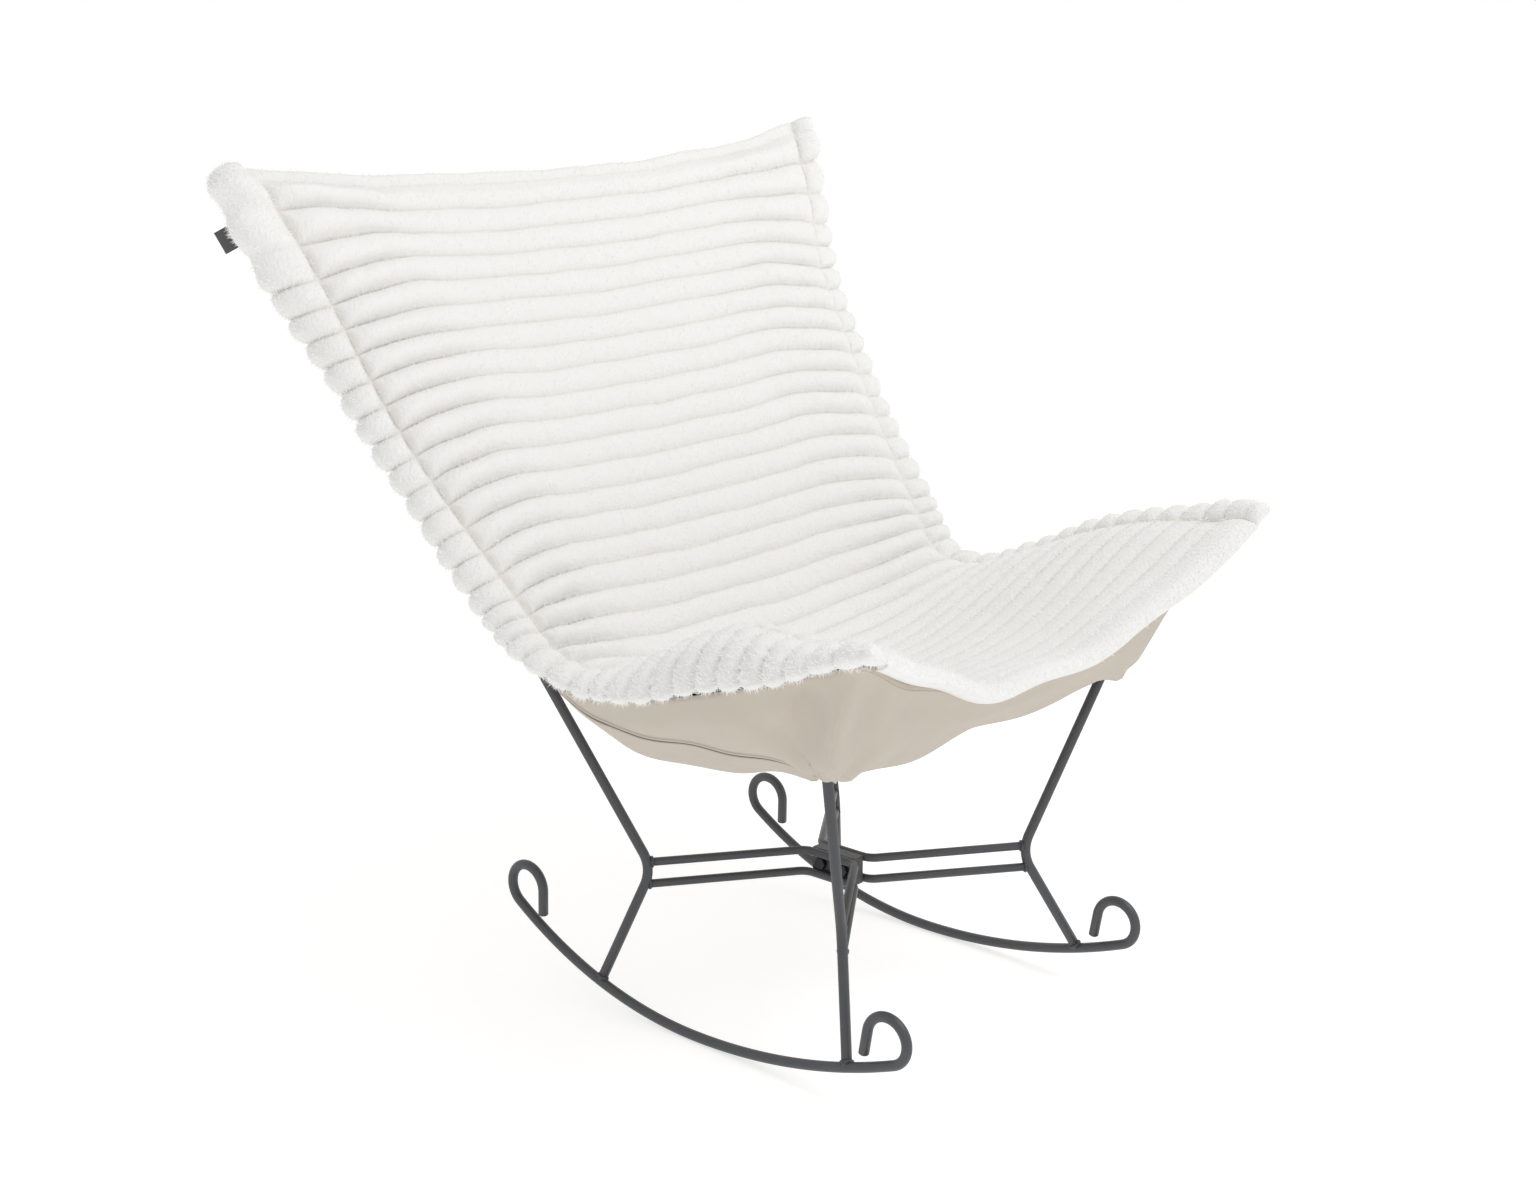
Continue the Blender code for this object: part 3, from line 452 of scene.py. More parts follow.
def stitch_line(across, along):
    """Where the stitched line runs: near the edge, but well inside it on the near side of the seat."""
    back = hill(along, *BACK_STITCH_HILL) * BACK_STITCH_SHIFT
    far_seat = rising(along, *FAR_SEAT_STITCH_SLOPE) * FAR_SEAT_STITCH_SHIFT * (across > 0)
    far_top = falling(along, *FAR_TOP_STITCH_SLOPE) * FAR_TOP_STITCH_SHIFT * (across > 0)
    near_seat = hill(along, *NEAR_SEAT_STITCH_HILL) * NEAR_SEAT_STITCH_SHIFT * (across < 0)
    return STITCH_LINE + np.maximum(np.maximum(back, far_seat), far_top) + near_seat


print("stitched line at", STITCH_LINE, "of the half width")

# %% [markdown]
# The padding's own surface
#
# Each shift is added to the sling's surface: the crest, the hump, the lifted hem, and shoulders that roll
# back. Behind the stitched line the border is turned down by an angle that changes along the sling. A lattice
# could bend a finished pad like this, but the canvas and the tag, which are sewn to the border, would then
# have to follow by hand. Here they all read the same points.

# %% Settled padding
SIDE_SLOPE = (0.40, 0.55)
NEAR_DROOP, NEAR_DROOP_HILL = -0.004, (0.54, 0.74, 0.97)
FAR_HUMP, FAR_HUMP_HILL = 0.043, (0.56, 0.85, 1.15)
FAR_CORNER_LIFT, CORNER_SLOPE_ALONG, CORNER_SLOPE_ACROSS = 0.010, (0.05, 0.08), (0.70, 0.25)
HEM_LIFT, HEM_LIFT_HILL, HEM_SLOPE = 0.020, (-1.05, -0.66, -0.10), (0.86, 0.12)
HEM_WAVE, HEM_WAVES, HEM_WAVE_START = 0.004, 13.0, 1.0


def settle(across, along):
    """How far the padding stands above the sling's surface, apart from the near crest."""
    side = rising(np.abs(across), *SIDE_SLOPE)
    near = NEAR_DROOP * hill(along, *NEAR_DROOP_HILL) * side * (across < 0)
    far = FAR_HUMP * hill(along, *FAR_HUMP_HILL) * side * (across > 0)
    far = far + FAR_CORNER_LIFT * falling(along, *CORNER_SLOPE_ALONG) * rising(across, *CORNER_SLOPE_ACROSS)
    hem = HEM_LIFT * hill(across, *HEM_LIFT_HILL) + HEM_WAVE * np.sin(across * HEM_WAVES + HEM_WAVE_START)
    return near + far + hem * rising(along, *HEM_SLOPE)


print("far hump", FAR_HUMP, "hem", HEM_LIFT)

# %% Turned borders
NEAR_CREST, CREST_HILL_ACROSS, CREST_HILL_ALONG = 0.072, (-1.03, -0.78, -0.25), (0.56, 0.82, 1.03)
SHOULDER_ROLL, SHOULDER_HILL = -0.020, (-0.02, 0.25, 0.56)
FAR_EDGE_SPREAD, FAR_EDGE_HILL = 0.018, (0.10, 0.46, 0.74)
FAR_TOP_DRAW, FAR_TOP_SLOPE = 0.010, (0.20, 0.20)
EDGE_POWER = 5
# How far the borders are turned down behind the stitched line, near and far.
CORNER_TILT = math.radians(16)
BACK_TILTS, SEAT_TILTS = (math.radians(66), math.radians(38)), (math.radians(8), math.radians(50))
TURN_EARLY, TURN_LENGTH = (0.03, 0.10), 0.26
SEAT_TILT_SLOPE, FRONT_TILT_SLOPE = (0.48, 0.14), (1.04, 0.14)


def border_tilt(near, along):
    """The angle by which the border is turned down."""
    turned = smooth_step((along + np.where(near, *TURN_EARLY)) / TURN_LENGTH)
    seat = np.where(near, *SEAT_TILTS) * falling(along, *FRONT_TILT_SLOPE)
    tilt = CORNER_TILT + (np.where(near, *BACK_TILTS) - CORNER_TILT) * turned
    return tilt + (seat - tilt) * rising(along, *SEAT_TILT_SLOPE)


def draped(across, along):
    """Points on the padding's own surface: settled, with its borders turned down behind the stitched line."""
    across, along = np.broadcast_arrays(np.asarray(across, float), np.asarray(along, float))
    stitch = stitch_line(across, along)
    inner = np.clip(across, -stitch, stitch)
    left, _, normal = sling_axes(inner, along)
    tilt = border_tilt(across < 0, along)
    beyond = (across - inner) * half_width(np.clip(along, 0, 1))
    points = sling(inner, along) + left * (beyond * np.cos(tilt))[..., None]
    points = points - normal * (np.abs(beyond) * np.sin(tilt))[..., None]
    shoulder = SHOULDER_ROLL * hill(along, *SHOULDER_HILL) * np.abs(inner) ** EDGE_POWER
    points[..., 1:] += BEHIND * shoulder[..., None]
    spread = FAR_EDGE_SPREAD * hill(along, *FAR_EDGE_HILL) - FAR_TOP_DRAW * falling(along, *FAR_TOP_SLOPE)
    points[..., 0] += spread * np.maximum(across, 0) ** EDGE_POWER
    crest = NEAR_CREST * hill(across, *CREST_HILL_ACROSS) * hill(along, *CREST_HILL_ALONG)
    points[..., 2] += settle(across, along) + crest
    return points


def draped_axes(across, along):
    """The axes at points of the padding's surface."""
    return axes_of(draped, across, along)


print("near crest", NEAR_CREST)

# %% [markdown]
# Plush cover: the base pad
#
# The cover is one closed pad. It is built as rings around its cross-section, from the top edge to the front
# edge: the upper face, a rolled border along the left edge, the underside, and a rolled border along the
# right edge. The rings at the two ends shrink to a line, so the pad closes with a round nose. A box with a
# subdivision modifier would be quicker, but it has no seams to sew along. No rib is in the pad yet. Each
# point only carries what the ribs will need: where it lies along the ribs, how far a rib may swell there, and
# in which direction, and also where the material paints shade in the creases.

# %% Pad rows and columns
RIBS, ROWS_PER_RIB = 34, 5
HALF_COLUMNS, COLUMN_CROWDING = 23, 1.6
TOP_FLANGE, TOP_ROLL, FRONT_ROLL, END_STEPS = 0.010, 0.008, 0.016, 4
TOP_CORNER_LENGTH, FRONT_SLOPE = 0.035, (0.955, 0.045)
RIB_BEND_START, RIB_BEND_POWER, RIB_DROP = 0.52, 1.6, 0.030
RIB_BEND_TOP, RIB_BEND_SLOPE = 0.10, (0.58, 0.14)


def pad_rows():
    """Each ring's place along the sling, and how much of the pad's thickness it has."""
    turns = [math.pi / 2 * step / END_STEPS for step in range(1, END_STEPS + 1)]
    flange = TOP_FLANGE / SLING_LENGTH
    top = [(-flange - TOP_ROLL / SLING_LENGTH * math.sin(turn), math.cos(turn)) for turn in turns]
    front = [(1 + FRONT_ROLL / SLING_LENGTH * math.sin(turn), math.cos(turn)) for turn in turns]
    rows = top[::-1] + [(-flange, 1.0), (-flange / 2, 1.0)]
    rows += [(row / (RIBS * ROWS_PER_RIB), 1.0) for row in range(RIBS * ROWS_PER_RIB + 1)]
    return rows + front


def rib_bend(across, along):
    """How far a rib's end is drawn down along the back towards the stitched line, as a share of the sling."""
    side = (np.minimum(np.abs(across), STITCH_LINE) - RIB_BEND_START) / (STITCH_LINE - RIB_BEND_START)
    bend = RIB_DROP / SLING_LENGTH * np.clip(side, 0, 1) ** RIB_BEND_POWER
    return bend * smooth_step(along / RIB_BEND_TOP) * falling(along, *RIB_BEND_SLOPE)


PAD_ALONG, PAD_SHARE = np.array(pad_rows()).T[..., None]
PAD_WIDTH = half_width(np.clip(PAD_ALONG, 0, 1))
AT_TOP = np.exp(-(PAD_ALONG * SLING_LENGTH / TOP_CORNER_LENGTH) ** 2)
AT_FRONT = rising(PAD_ALONG, *FRONT_SLOPE)
column_steps = np.linspace(-1, 1, 2 * HALF_COLUMNS - 1)
# The columns of the faces lie closer together near the two stitched lines.
crowded = 1 - (1 - np.abs(column_steps)) ** COLUMN_CROWDING
PAD_COLUMNS = (STITCH_LINE * np.sign(column_steps) * crowded)[None, :]
PAD_INSET = (STITCH_LINE - np.abs(PAD_COLUMNS)) * PAD_WIDTH
print("pad rings", len(PAD_ALONG), "columns", PAD_COLUMNS.size)

# %% [markdown]
# Plush cover: faces and borders
#
# The border is a rolled tube of plush outside the stitched line, fuller above than below and pinched where it
# is sewn on. A bevelled curve could give the tube, but it would stay a shell of its own, and the cover is one
# skin. So the two faces are grids of points, and each border is points turned about its own middle line.

# %% Pad faces
# The crease value marks where the material paints shade: a narrow band along the stitched line, and the
# pinched inner side of each border.
PAD_FACTS = ("swell", "over", "sewn", "fringe", "crease")
CREASE_SHADE_WIDTH = 0.005
FACE_FRINGE, END_FRINGE, FRONT_FRINGE = 0.14, 0.8, 0.3
pad_parts = {label: [] for label in ("point", "way") + PAD_FACTS}


def keep(point, way, **facts):
    """Add columns of points to the pad, each with the direction of its swelling and its facts."""
    pad_parts["point"].append(point)
    pad_parts["way"].append(np.broadcast_to(way, point.shape))
    for label, value in facts.items():
        pad_parts[label].append(np.broadcast_to(value, point.shape[:2]))


def pad_face(columns, height, swelling, sign, sewn):
    """The pad's upper face or, with a negative sign, its underside."""
    place = PAD_ALONG + rib_bend(columns, PAD_ALONG)
    across = columns * stitch_line(columns, place) / STITCH_LINE
    normal = sling_axes(across, place)[2]
    furry = np.clip(FACE_FRINGE + END_FRINGE * (1 - PAD_SHARE) + FRONT_FRINGE * AT_FRONT, 0, 1) * (sign > 0)
    keep(draped(across, place) + normal * height[..., None], normal * sign, swell=swelling, over=across,
         sewn=sewn, fringe=furry, crease=np.exp(-(PAD_INSET / CREASE_SHADE_WIDTH) ** 2) * (1 - AT_FRONT))


print("each point carries", PAD_FACTS)

# %% Pad borders
SEAM_DEGREES, DEGREE_STEP = 165, 30
BORDER_ANGLES = [math.radians(angle) for angle in range(SEAM_DEGREES, -SEAM_DEGREES - 1, -DEGREE_STEP)]
BORDER_HALF_HEIGHT, BORDER_LIFT, BORDER_SWELL = 0.0075, 0.0078, 0.0105
BORDER_PINCH, PINCHED_LIFT, PINCHED_HEIGHT = 1.1, 0.10, 0.3
BORDER_FULLNESS, FULLER_ABOVE, FULLER_OUTSIDE, SEAM_ANGLE = 0.66, 0.34, 0.12, 0.9
BORDER_SHADE_START, BORDER_SHADE_SPAN = 0.7, 0.3
BORDER_WAY_OUT, OUTER_ANGLE, INNER_FRINGE = 0.8, 0.8, 0.4
CORNER_ROUND, CORNER_ROUND_LIMIT, CORNER_NARROWING, CORNER_SWELL = 0.020, 0.97, 0.14, 0.3
# The two top corners differ: the near one is a fuller, lumpier ball, and its channels start lower.
CORNER_BALL, CORNER_LUMPS = {1: 0.3, -1: 0.9}, {1: 0.0, -1: 0.35}
LUMP_SLOPE, LUMP_WAVES, LUMP_TURN = (0.16, 0.1), 150, 1.5
CHANNEL_START, CHANNEL_LENGTH, CHANNEL_LEAST, FRONT_CHANNEL_LOSS = {1: -0.03, -1: 0.036}, 0.06, 0.15, 0.6


def at_least(least, share):
    """A share that goes from a least value, and not from 0, up to 1."""
    return least + (1 - least) * share


def pad_border(side):
    """The rolled border along one side edge."""
    place = PAD_ALONG + rib_bend(side, PAD_ALONG)
    stitch = stitch_line(side, place)
    middle = side * (1 + stitch) / 2
    left, _, up = draped_axes(middle, place)
    centre = draped(middle, place)
    to_end = np.clip((CORNER_ROUND - PAD_ALONG * SLING_LENGTH) / (CORNER_ROUND * 2), 0, CORNER_ROUND_LIMIT)
    half_border = (1 - stitch) / 2 * PAD_WIDTH * (1 - CORNER_NARROWING * AT_TOP) * np.sqrt(1 - to_end ** 2)
    height = BORDER_HALF_HEIGHT * (1 + CORNER_BALL[side] * AT_TOP) * PAD_SHARE
    channels = at_least(CHANNEL_LEAST, rising(PAD_ALONG, CHANNEL_START[side], CHANNEL_LENGTH))
    channels = channels * (1 - FRONT_CHANNEL_LOSS * AT_FRONT)
    lumps = CORNER_LUMPS[side] * falling(PAD_ALONG, *LUMP_SLOPE)
    for angle in BORDER_ANGLES[::side]:
        outside, above = math.cos(angle), math.sin(angle)
        way_out, way_up = left * side * outside, up * above
        open_share = smooth_step((outside + 1) / BORDER_PINCH)
        lift = BORDER_LIFT * at_least(PINCHED_LIFT, open_share)
        lift = lift + height * above * at_least(PINCHED_HEIGHT, open_share)
        fullness = max(0.0, BORDER_FULLNESS + FULLER_ABOVE * above + FULLER_OUTSIDE * outside)
        fullness = fullness * min(1.0, (math.pi - abs(angle)) / SEAM_ANGLE)
        swelling = BORDER_SWELL * fullness * PAD_SHARE * (1 + CORNER_SWELL * AT_TOP)
        swelling = swelling * (1 + lumps * np.sin(PAD_ALONG * LUMP_WAVES + LUMP_TURN * outside))
        # The border's pinched inner side carries a crease value for painted shade.
        keep(centre + way_out * half_border[..., None] + up * lift[..., None],
             unit(way_out * BORDER_WAY_OUT + way_up), swell=swelling,
             over=middle + side * outside * (1 - stitch) / 2, sewn=channels,
             fringe=1.0 if abs(angle) < OUTER_ANGLE else INNER_FRINGE,
             crease=max(0.0, -outside - BORDER_SHADE_START) / BORDER_SHADE_SPAN * (1 - AT_FRONT))


print("border points around", len(BORDER_ANGLES))

# %% [markdown]
# Plush cover: one closed skin
#
# The upper face, a border, the underside and the other border are now joined side by side into rings, and the
# rings into faces. Points that meet are merged and the ends are closed, because only a closed skin can hold a
# filling. What the ribs need stays on the points as attributes, which node trees and materials can read.
# Vertex groups could hold some of it, but no directions.

# %% Rib swelling
RIB_SWELL, RIB_END_LENGTH = 0.0185, 0.026
RIB_MIDDLE_SHARE, RIB_FAR_SHARE, RIB_FRONT_SHARE = 0.27, 0.50, 0.27
RIB_SIDE_SLOPE, RIB_FRONT_SLOPE, FIRST_RIB_STEEPNESS = (0.40, 0.40), (0.64, 0.26), 3


def rib_swelling():
    """How far the ribs may swell: most at the near side, less in the middle, at the far side and in front."""
    rounded = np.sqrt(1 - (1 - np.clip(PAD_INSET / RIB_END_LENGTH, 0, 1)) ** 2)
    edge_share = rising(np.abs(PAD_COLUMNS), *RIB_SIDE_SLOPE) * np.where(PAD_COLUMNS < 0, 1.0, RIB_FAR_SHARE)
    strength = at_least(RIB_MIDDLE_SHARE, edge_share)
    strength = strength * (1 - (1 - RIB_FRONT_SHARE) * rising(PAD_ALONG, *RIB_FRONT_SLOPE))
    return RIB_SWELL * strength * rounded * smooth_step(PAD_ALONG * RIBS * FIRST_RIB_STEEPNESS) * PAD_SHARE


print("ribs", RIBS, "swell by up to", RIB_SWELL)

# %% Base pad
COVER_VALLEY, COVER_UNDER, VALLEY_LEAST = 0.005, 0.0005, 0.25
FRONT_SWELL, FRONT_ABOVE, FRONT_BELOW, FRONT_RIB_LOSS = 0.015, 0.6, 0.4, 0.7
MERGE_DISTANCE = 0.0002


def store(mesh, label, values):
    """Keep a value or a vector on each point of a mesh."""
    kind, key = ("FLOAT_VECTOR", "vector") if values.ndim == 3 else ("FLOAT", "value")
    mesh.attributes.new(label, kind, "POINT").data.foreach_set(key, values.astype(np.float32).ravel())


def flat_place(across, along):
    """Places in a flat cloth, as vectors."""
    return np.stack(np.broadcast_arrays(across, along, 0.0), axis=-1)


def base_pad():
    """The cover without its ribs, with the facts that the ribs need stored on its points."""
    valley = COVER_VALLEY * at_least(VALLEY_LEAST, smooth_step(PAD_INSET / RIB_END_LENGTH))
    pad_face(PAD_COLUMNS, (valley + FRONT_SWELL * FRONT_ABOVE * AT_FRONT) * PAD_SHARE, rib_swelling(),
             sign=1, sewn=1 - FRONT_RIB_LOSS * AT_FRONT)
    pad_border(1)
    under = -COVER_UNDER * PAD_SHARE - FRONT_SWELL * FRONT_BELOW * AT_FRONT * PAD_SHARE
    pad_face(PAD_COLUMNS[:, ::-1], under, swelling=0.0, sign=-1, sewn=1.0)
    pad_border(-1)
    grid, way = (np.concatenate(pad_parts[label], axis=1) for label in ("point", "way"))
    count, ring = grid.shape[:2]
    number = np.arange(count * ring).reshape(count, ring)
    after = np.roll(number, -1, axis=1)
    faces = np.stack([number[:-1], after[:-1], after[1:], number[1:]], axis=-1).reshape(-1, 4)
    facts = {label: np.concatenate(pad_parts[label], axis=1) for label in PAD_FACTS}
    facts["rib_place"] = np.broadcast_to(PAD_ALONG * RIBS, (count, ring))
    facts["way"] = way
    facts["forward"] = np.broadcast_to(draped_axes(facts["over"], PAD_ALONG)[1], grid.shape)
    facts["cloth_place"] = flat_place(facts["over"] * PAD_WIDTH, PAD_ALONG * SLING_LENGTH)
    mesh = bpy.data.meshes.new("plush_cover")
    mesh.from_pydata(grid.reshape(-1, 3).tolist(), [], faces.tolist())
    for label, values in facts.items():
        store(mesh, label, values)
    edit = bmesh.new()
    edit.from_mesh(mesh)
    bmesh.ops.remove_doubles(edit, verts=edit.verts, dist=MERGE_DISTANCE)
    bmesh.ops.holes_fill(edit, edges=[edge for edge in edit.edges if edge.is_boundary])
    bmesh.ops.recalc_face_normals(edit, faces=edit.faces)
    edit.to_mesh(mesh)
    edit.free()
    return mesh


pad = mesh_object("plush_base", base_pad())
print("base pad", len(pad.data.vertices), "points")

# %% [markdown]
# Plush cover: swelling
#
# A sewn pad isn't flat between its seams: the filling pushes the cloth out as far as the seams let it.
# Blender's Cloth does this with a small pressure and no gravity. The border, the underside and the seams
# between the ribs are pinned, and no point may move more than a few millimetres, so the pad keeps its place
# on the canvas.

# %% Swell the pad
SWELL_FRAMES, SWELL_CAP, SMALLEST_MOVE = 20, 0.006, 1e-9
SEAM_PIN_WIDTH, EDGE_PIN_WIDTH = 0.05, 0.001
PLUSH_CLOTH = {"quality": 5, "mass": 0.3, "tension_stiffness": 12, "compression_stiffness": 12,
               "bending_stiffness": 0.3, "use_pressure": True, "uniform_pressure_force": 4.0}


def read(data, key, width=1):
    """A value of each point, as one long array."""
    values = np.empty(len(data) * width)
    data.foreach_get(key, values)
    return values


def swell(host):
    """Blow a pad up a little between its pinned seams, and keep the result as its mesh."""
    mesh = host.data
    before = read(mesh.vertices, "co", 3)
    labels = ("rib_place", "swell", "over")
    place, height, over = (read(mesh.attributes[label].data, "value") for label in labels)
    held = (np.abs(over) >= STITCH_LINE - EDGE_PIN_WIDTH) | (height <= 0)
    held = held | (np.abs(place - np.round(place)) < SEAM_PIN_WIDTH)
    pins = host.vertex_groups.new(name="pins")
    pins.add(np.flatnonzero(held).tolist(), 1.0, "REPLACE")
    cloth = host.modifiers.new("swell", "CLOTH")
    for key, value in PLUSH_CLOTH.items():
        setattr(cloth.settings, key, value)
    cloth.settings.effector_weights.gravity = 0
    cloth.settings.vertex_group_mass = "pins"
    cloth.point_cache.frame_start = 1
    cloth.point_cache.frame_end = SWELL_FRAMES
    for number in range(1, SWELL_FRAMES + 1):
        scene.frame_set(number)
    moved = host.evaluated_get(bpy.context.evaluated_depsgraph_get())
    way = (read(moved.data.vertices, "co", 3) - before).reshape(-1, 3)
    host.modifiers.remove(cloth)
    scene.frame_set(1)
    length = np.linalg.norm(way, axis=1, keepdims=True)
    way *= np.minimum(1.0, SWELL_CAP / np.maximum(length, SMALLEST_MOVE))
    mesh.vertices.foreach_set("co", before + way.ravel())
    mesh.update()
    host.vertex_groups.clear()
    return float(length.max())


print("pad swelled by up to", round(swell(pad) * 1000, 1), "mm before the cap")
finer = pad.modifiers.new("finer", "SUBSURF")
finer.levels = finer.render_levels = 1

# %% [markdown]
# Plush finish
#
# The cover is short dense pile. Hair would draw every fibre, but from a few steps away pile reads as a soft,
# fibrous relief with a faint sheen, so the broad faces get that from the shader. Down in the valleys and
# creases, where less light reaches, the material paints a cream shade into the colour, and it reads how deep
# a point lies from the mesh. Patches of the same cream are the pile's own tone.

# %% Plush material
# The cream is the pile's own tone in random patches, and also painted shade down in the valleys and creases.
PLUSH_WHITE, PLUSH_CREAM_AND_SHADE = (0.86, 0.855, 0.84, 1), (0.77, 0.735, 0.67, 1)
PILE_GRAIN, PILE_COMB = {"Coarse": 75.0, "Fine": 420.0, "Fine share": 0.45}, (1.0, 0.45, 1.0)
PILE_DEPTH, PILE_STRENGTH = 0.0060, 0.55
CREAM_PATCHES, VALLEY_PAINTED_SHADE, VALLEY_POWER = 0.12, 0.55, 2.5


def carried(tree, label, output):
    """A value that the points of a mesh carry, for a material."""
    return add_node(tree, "ShaderNodeAttribute", attribute_name=label).outputs[output]


def plush_material():
    """Short dense pile: white, with painted cream shade in the valleys, a fibrous relief and a soft sheen."""
    made, tree, shader = shader_material("white_plush", {"Roughness": 0.95, "Specular IOR Level": 0.15,
                                                         "Sheen Weight": 0.25, "Sheen Roughness": 0.5})
    combed = add_node(tree, "ShaderNodeMapping", {"Vector": carried(tree, "cloth_place", "Vector"),
                                                  "Scale": PILE_COMB}).outputs[0]
    pile = place_group(tree, FINE_RELIEF, {"Vector": combed, **PILE_GRAIN})
    # The deeper a point lies in a valley or crease, the more painted cream shade it gets.
    deep = maths(tree, "POWER", carried(tree, "valley", "Fac"), VALLEY_POWER)
    share = maths(tree, "MULTIPLY_ADD", pile["Patches"], CREAM_PATCHES,
                  maths(tree, "MULTIPLY", deep, VALLEY_PAINTED_SHADE), clamp=True)
    feed(tree, shader, {"Base Color": mix_colours(tree, share, PLUSH_WHITE, PLUSH_CREAM_AND_SHADE),
                        "Normal": bump(tree, pile["Height"], PILE_DEPTH, PILE_STRENGTH)})
    return made


PLUSH = plush_material()
print("plush material", PLUSH.name)

# %% [markdown]
# Helpers for Geometry Nodes
#
# What repeats on the chair, or follows a path, is made by Geometry Nodes trees: ribs, pile, bars and weld
# beads. Each tree takes one geometry and named sizes, and ends in real faces with a material, because an
# exported model holds no instances. A tree can stay live as a modifier, but here its result is kept as a
# plain mesh.

# %% Tree helpers
GEOMETRY, MATERIAL = "NodeSocketGeometry", "NodeSocketMaterial"


def shape_tree(name, inputs):
    """A Geometry Nodes tree that takes and gives one geometry."""
    return new_tree(name, "GeometryNodeTree", {"Geometry": GEOMETRY, **inputs}, {"Geometry": GEOMETRY})


def end_shape(tree, result, geometry, material, smooth=True):
    """The end of each tree: smooth shading, instances made real, and a material."""
    if smooth:
        geometry = add_node(tree, "GeometryNodeSetShadeSmooth", {0: geometry}).outputs[0]
    single = add_node(tree, "GeometryNodeRealizeInstances", {0: geometry})
    painted = add_node(tree, "GeometryNodeSetMaterial", {"Geometry": single.outputs[0], "Material": material})
    feed(tree, result, {"Geometry": painted.outputs[0]})
    return tree


def fact(tree, label, kind="FLOAT"):
    """A value that the points of a mesh carry, for a Geometry Nodes tree."""
    made = add_node(tree, "GeometryNodeInputNamedAttribute", {"Name": label}, data_type=kind)
    return made.outputs["Attribute"]


def mark(tree, geometry, label, value):
    """A geometry whose points carry a value."""
    inputs = {"Geometry": geometry, "Name": label, "Value": value}
    made = add_node(tree, "GeometryNodeStoreNamedAttribute", inputs, data_type="FLOAT", domain="POINT")
    return made.outputs[0]


def scaled(tree, vector, factor):
    """A vector times a number."""
    return add_node(tree, "ShaderNodeVectorMath", {0: vector, "Scale": factor}, operation="SCALE").outputs[0]


print("tree helpers ready")

# %% From a tree to a piece


def plain_mesh(host):
    """An object's mesh with its modifiers applied."""
    depsgraph = bpy.context.evaluated_depsgraph_get()
    return bpy.data.meshes.new_from_object(host.evaluated_get(depsgraph), preserve_all_data_layers=True,
                                           depsgraph=depsgraph)


def run_nodes(host, tree, values):
    """The plain mesh that a tree makes from an object, with the tree's named inputs set."""
    step = host.modifiers.new(tree.name, "NODES")
    step.node_group = tree
    identifiers = {item.name: item.identifier for item in tree.interface.items_tree if item.in_out == "INPUT"}
    for label, value in values.items():
        step[identifiers[label]] = value
    made = plain_mesh(host)
    host.modifiers.remove(step)
    return made


def place_piece(name, mesh, slot, *nodes):
    """A finished mesh as a named piece on the chair, with the solids that it stands for hidden. Its slot is
    not used.
    """
    made = mesh_object(name, mesh)
    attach(made, "root")
    if nodes:
        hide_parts(*nodes)
    return made


print("piece helpers ready")

# %% [markdown]
# Plush cover: the ribs
#
# The channels are rows of sewing with filling pushed in between. They repeat, so a tree raises them: it reads
# where a point lies between two seams, lifts it by a round profile with a narrow valley, and lets the height
# and the seams wander a little, as hand-fed sewing does. It also stores how deep in a valley or a crease each
# point lies, for the shade that the material paints there.

# %% Sewn ribs
RIB_ROUNDNESS, RIB_UNEVEN, SEAM_WANDER = 0.68, 0.40, 0.0065
UNEVEN_SCALE, WANDER_SCALE = 16.0, 9.0


def sewn_ribs_tree():
    """Lift the points between seams by a round profile."""
    tree, given, result = shape_tree("sewn_ribs", {"Roundness": 0.5, "Seam wander": 0.0, "Uneven": 0.0,
                                                   "Cloth": MATERIAL})

    def noise(scale):
        place = fact(tree, "cloth_place", "FLOAT_VECTOR")
        made = add_node(tree, "ShaderNodeTexNoise", {"Vector": place, "Scale": scale, "Detail": 2.0})
        return maths(tree, "SUBTRACT", made.outputs[0], 0.5)

    between = maths(tree, "FRACT", maths(tree, "ADD", fact(tree, "rib_place"), RIBS))
    off_middle = maths(tree, "ABSOLUTE", maths(tree, "MULTIPLY_ADD", between, 2.0, -1.0))
    round_top = maths(tree, "SUBTRACT", 1.0, maths(tree, "POWER", off_middle, 2.0), clamp=True)
    round_top = maths(tree, "POWER", round_top, given["Roundness"])
    sewn_down = maths(tree, "MULTIPLY", fact(tree, "sewn"), maths(tree, "SUBTRACT", 1.0, round_top))
    profile = maths(tree, "SUBTRACT", 1.0, sewn_down)
    uneven = maths(tree, "MULTIPLY", given["Uneven"], 2.0)
    lumps = maths(tree, "MULTIPLY_ADD", noise(UNEVEN_SCALE), uneven, 1.0)
    height = maths(tree, "MULTIPLY", maths(tree, "MULTIPLY", fact(tree, "swell"), profile), lumps)
    lift = scaled(tree, fact(tree, "way", "FLOAT_VECTOR"), height)
    sway = maths(tree, "MULTIPLY", maths(tree, "MULTIPLY", noise(WANDER_SCALE), 2.0), given["Seam wander"])
    shift = scaled(tree, fact(tree, "forward", "FLOAT_VECTOR"), sway)
    offset = add_node(tree, "ShaderNodeVectorMath", {0: lift, 1: shift}, operation="ADD")
    moved = add_node(tree, "GeometryNodeSetPosition",
                     {"Geometry": given["Geometry"], "Offset": offset.outputs[0]})
    # How deep a point lies in a valley or crease, stored for the painted shade in the material.
    valley = maths(tree, "MAXIMUM", maths(tree, "SUBTRACT", 1.0, profile), fact(tree, "crease"))
    return end_shape(tree, result, mark(tree, moved.outputs[0], "valley", valley), given["Cloth"])


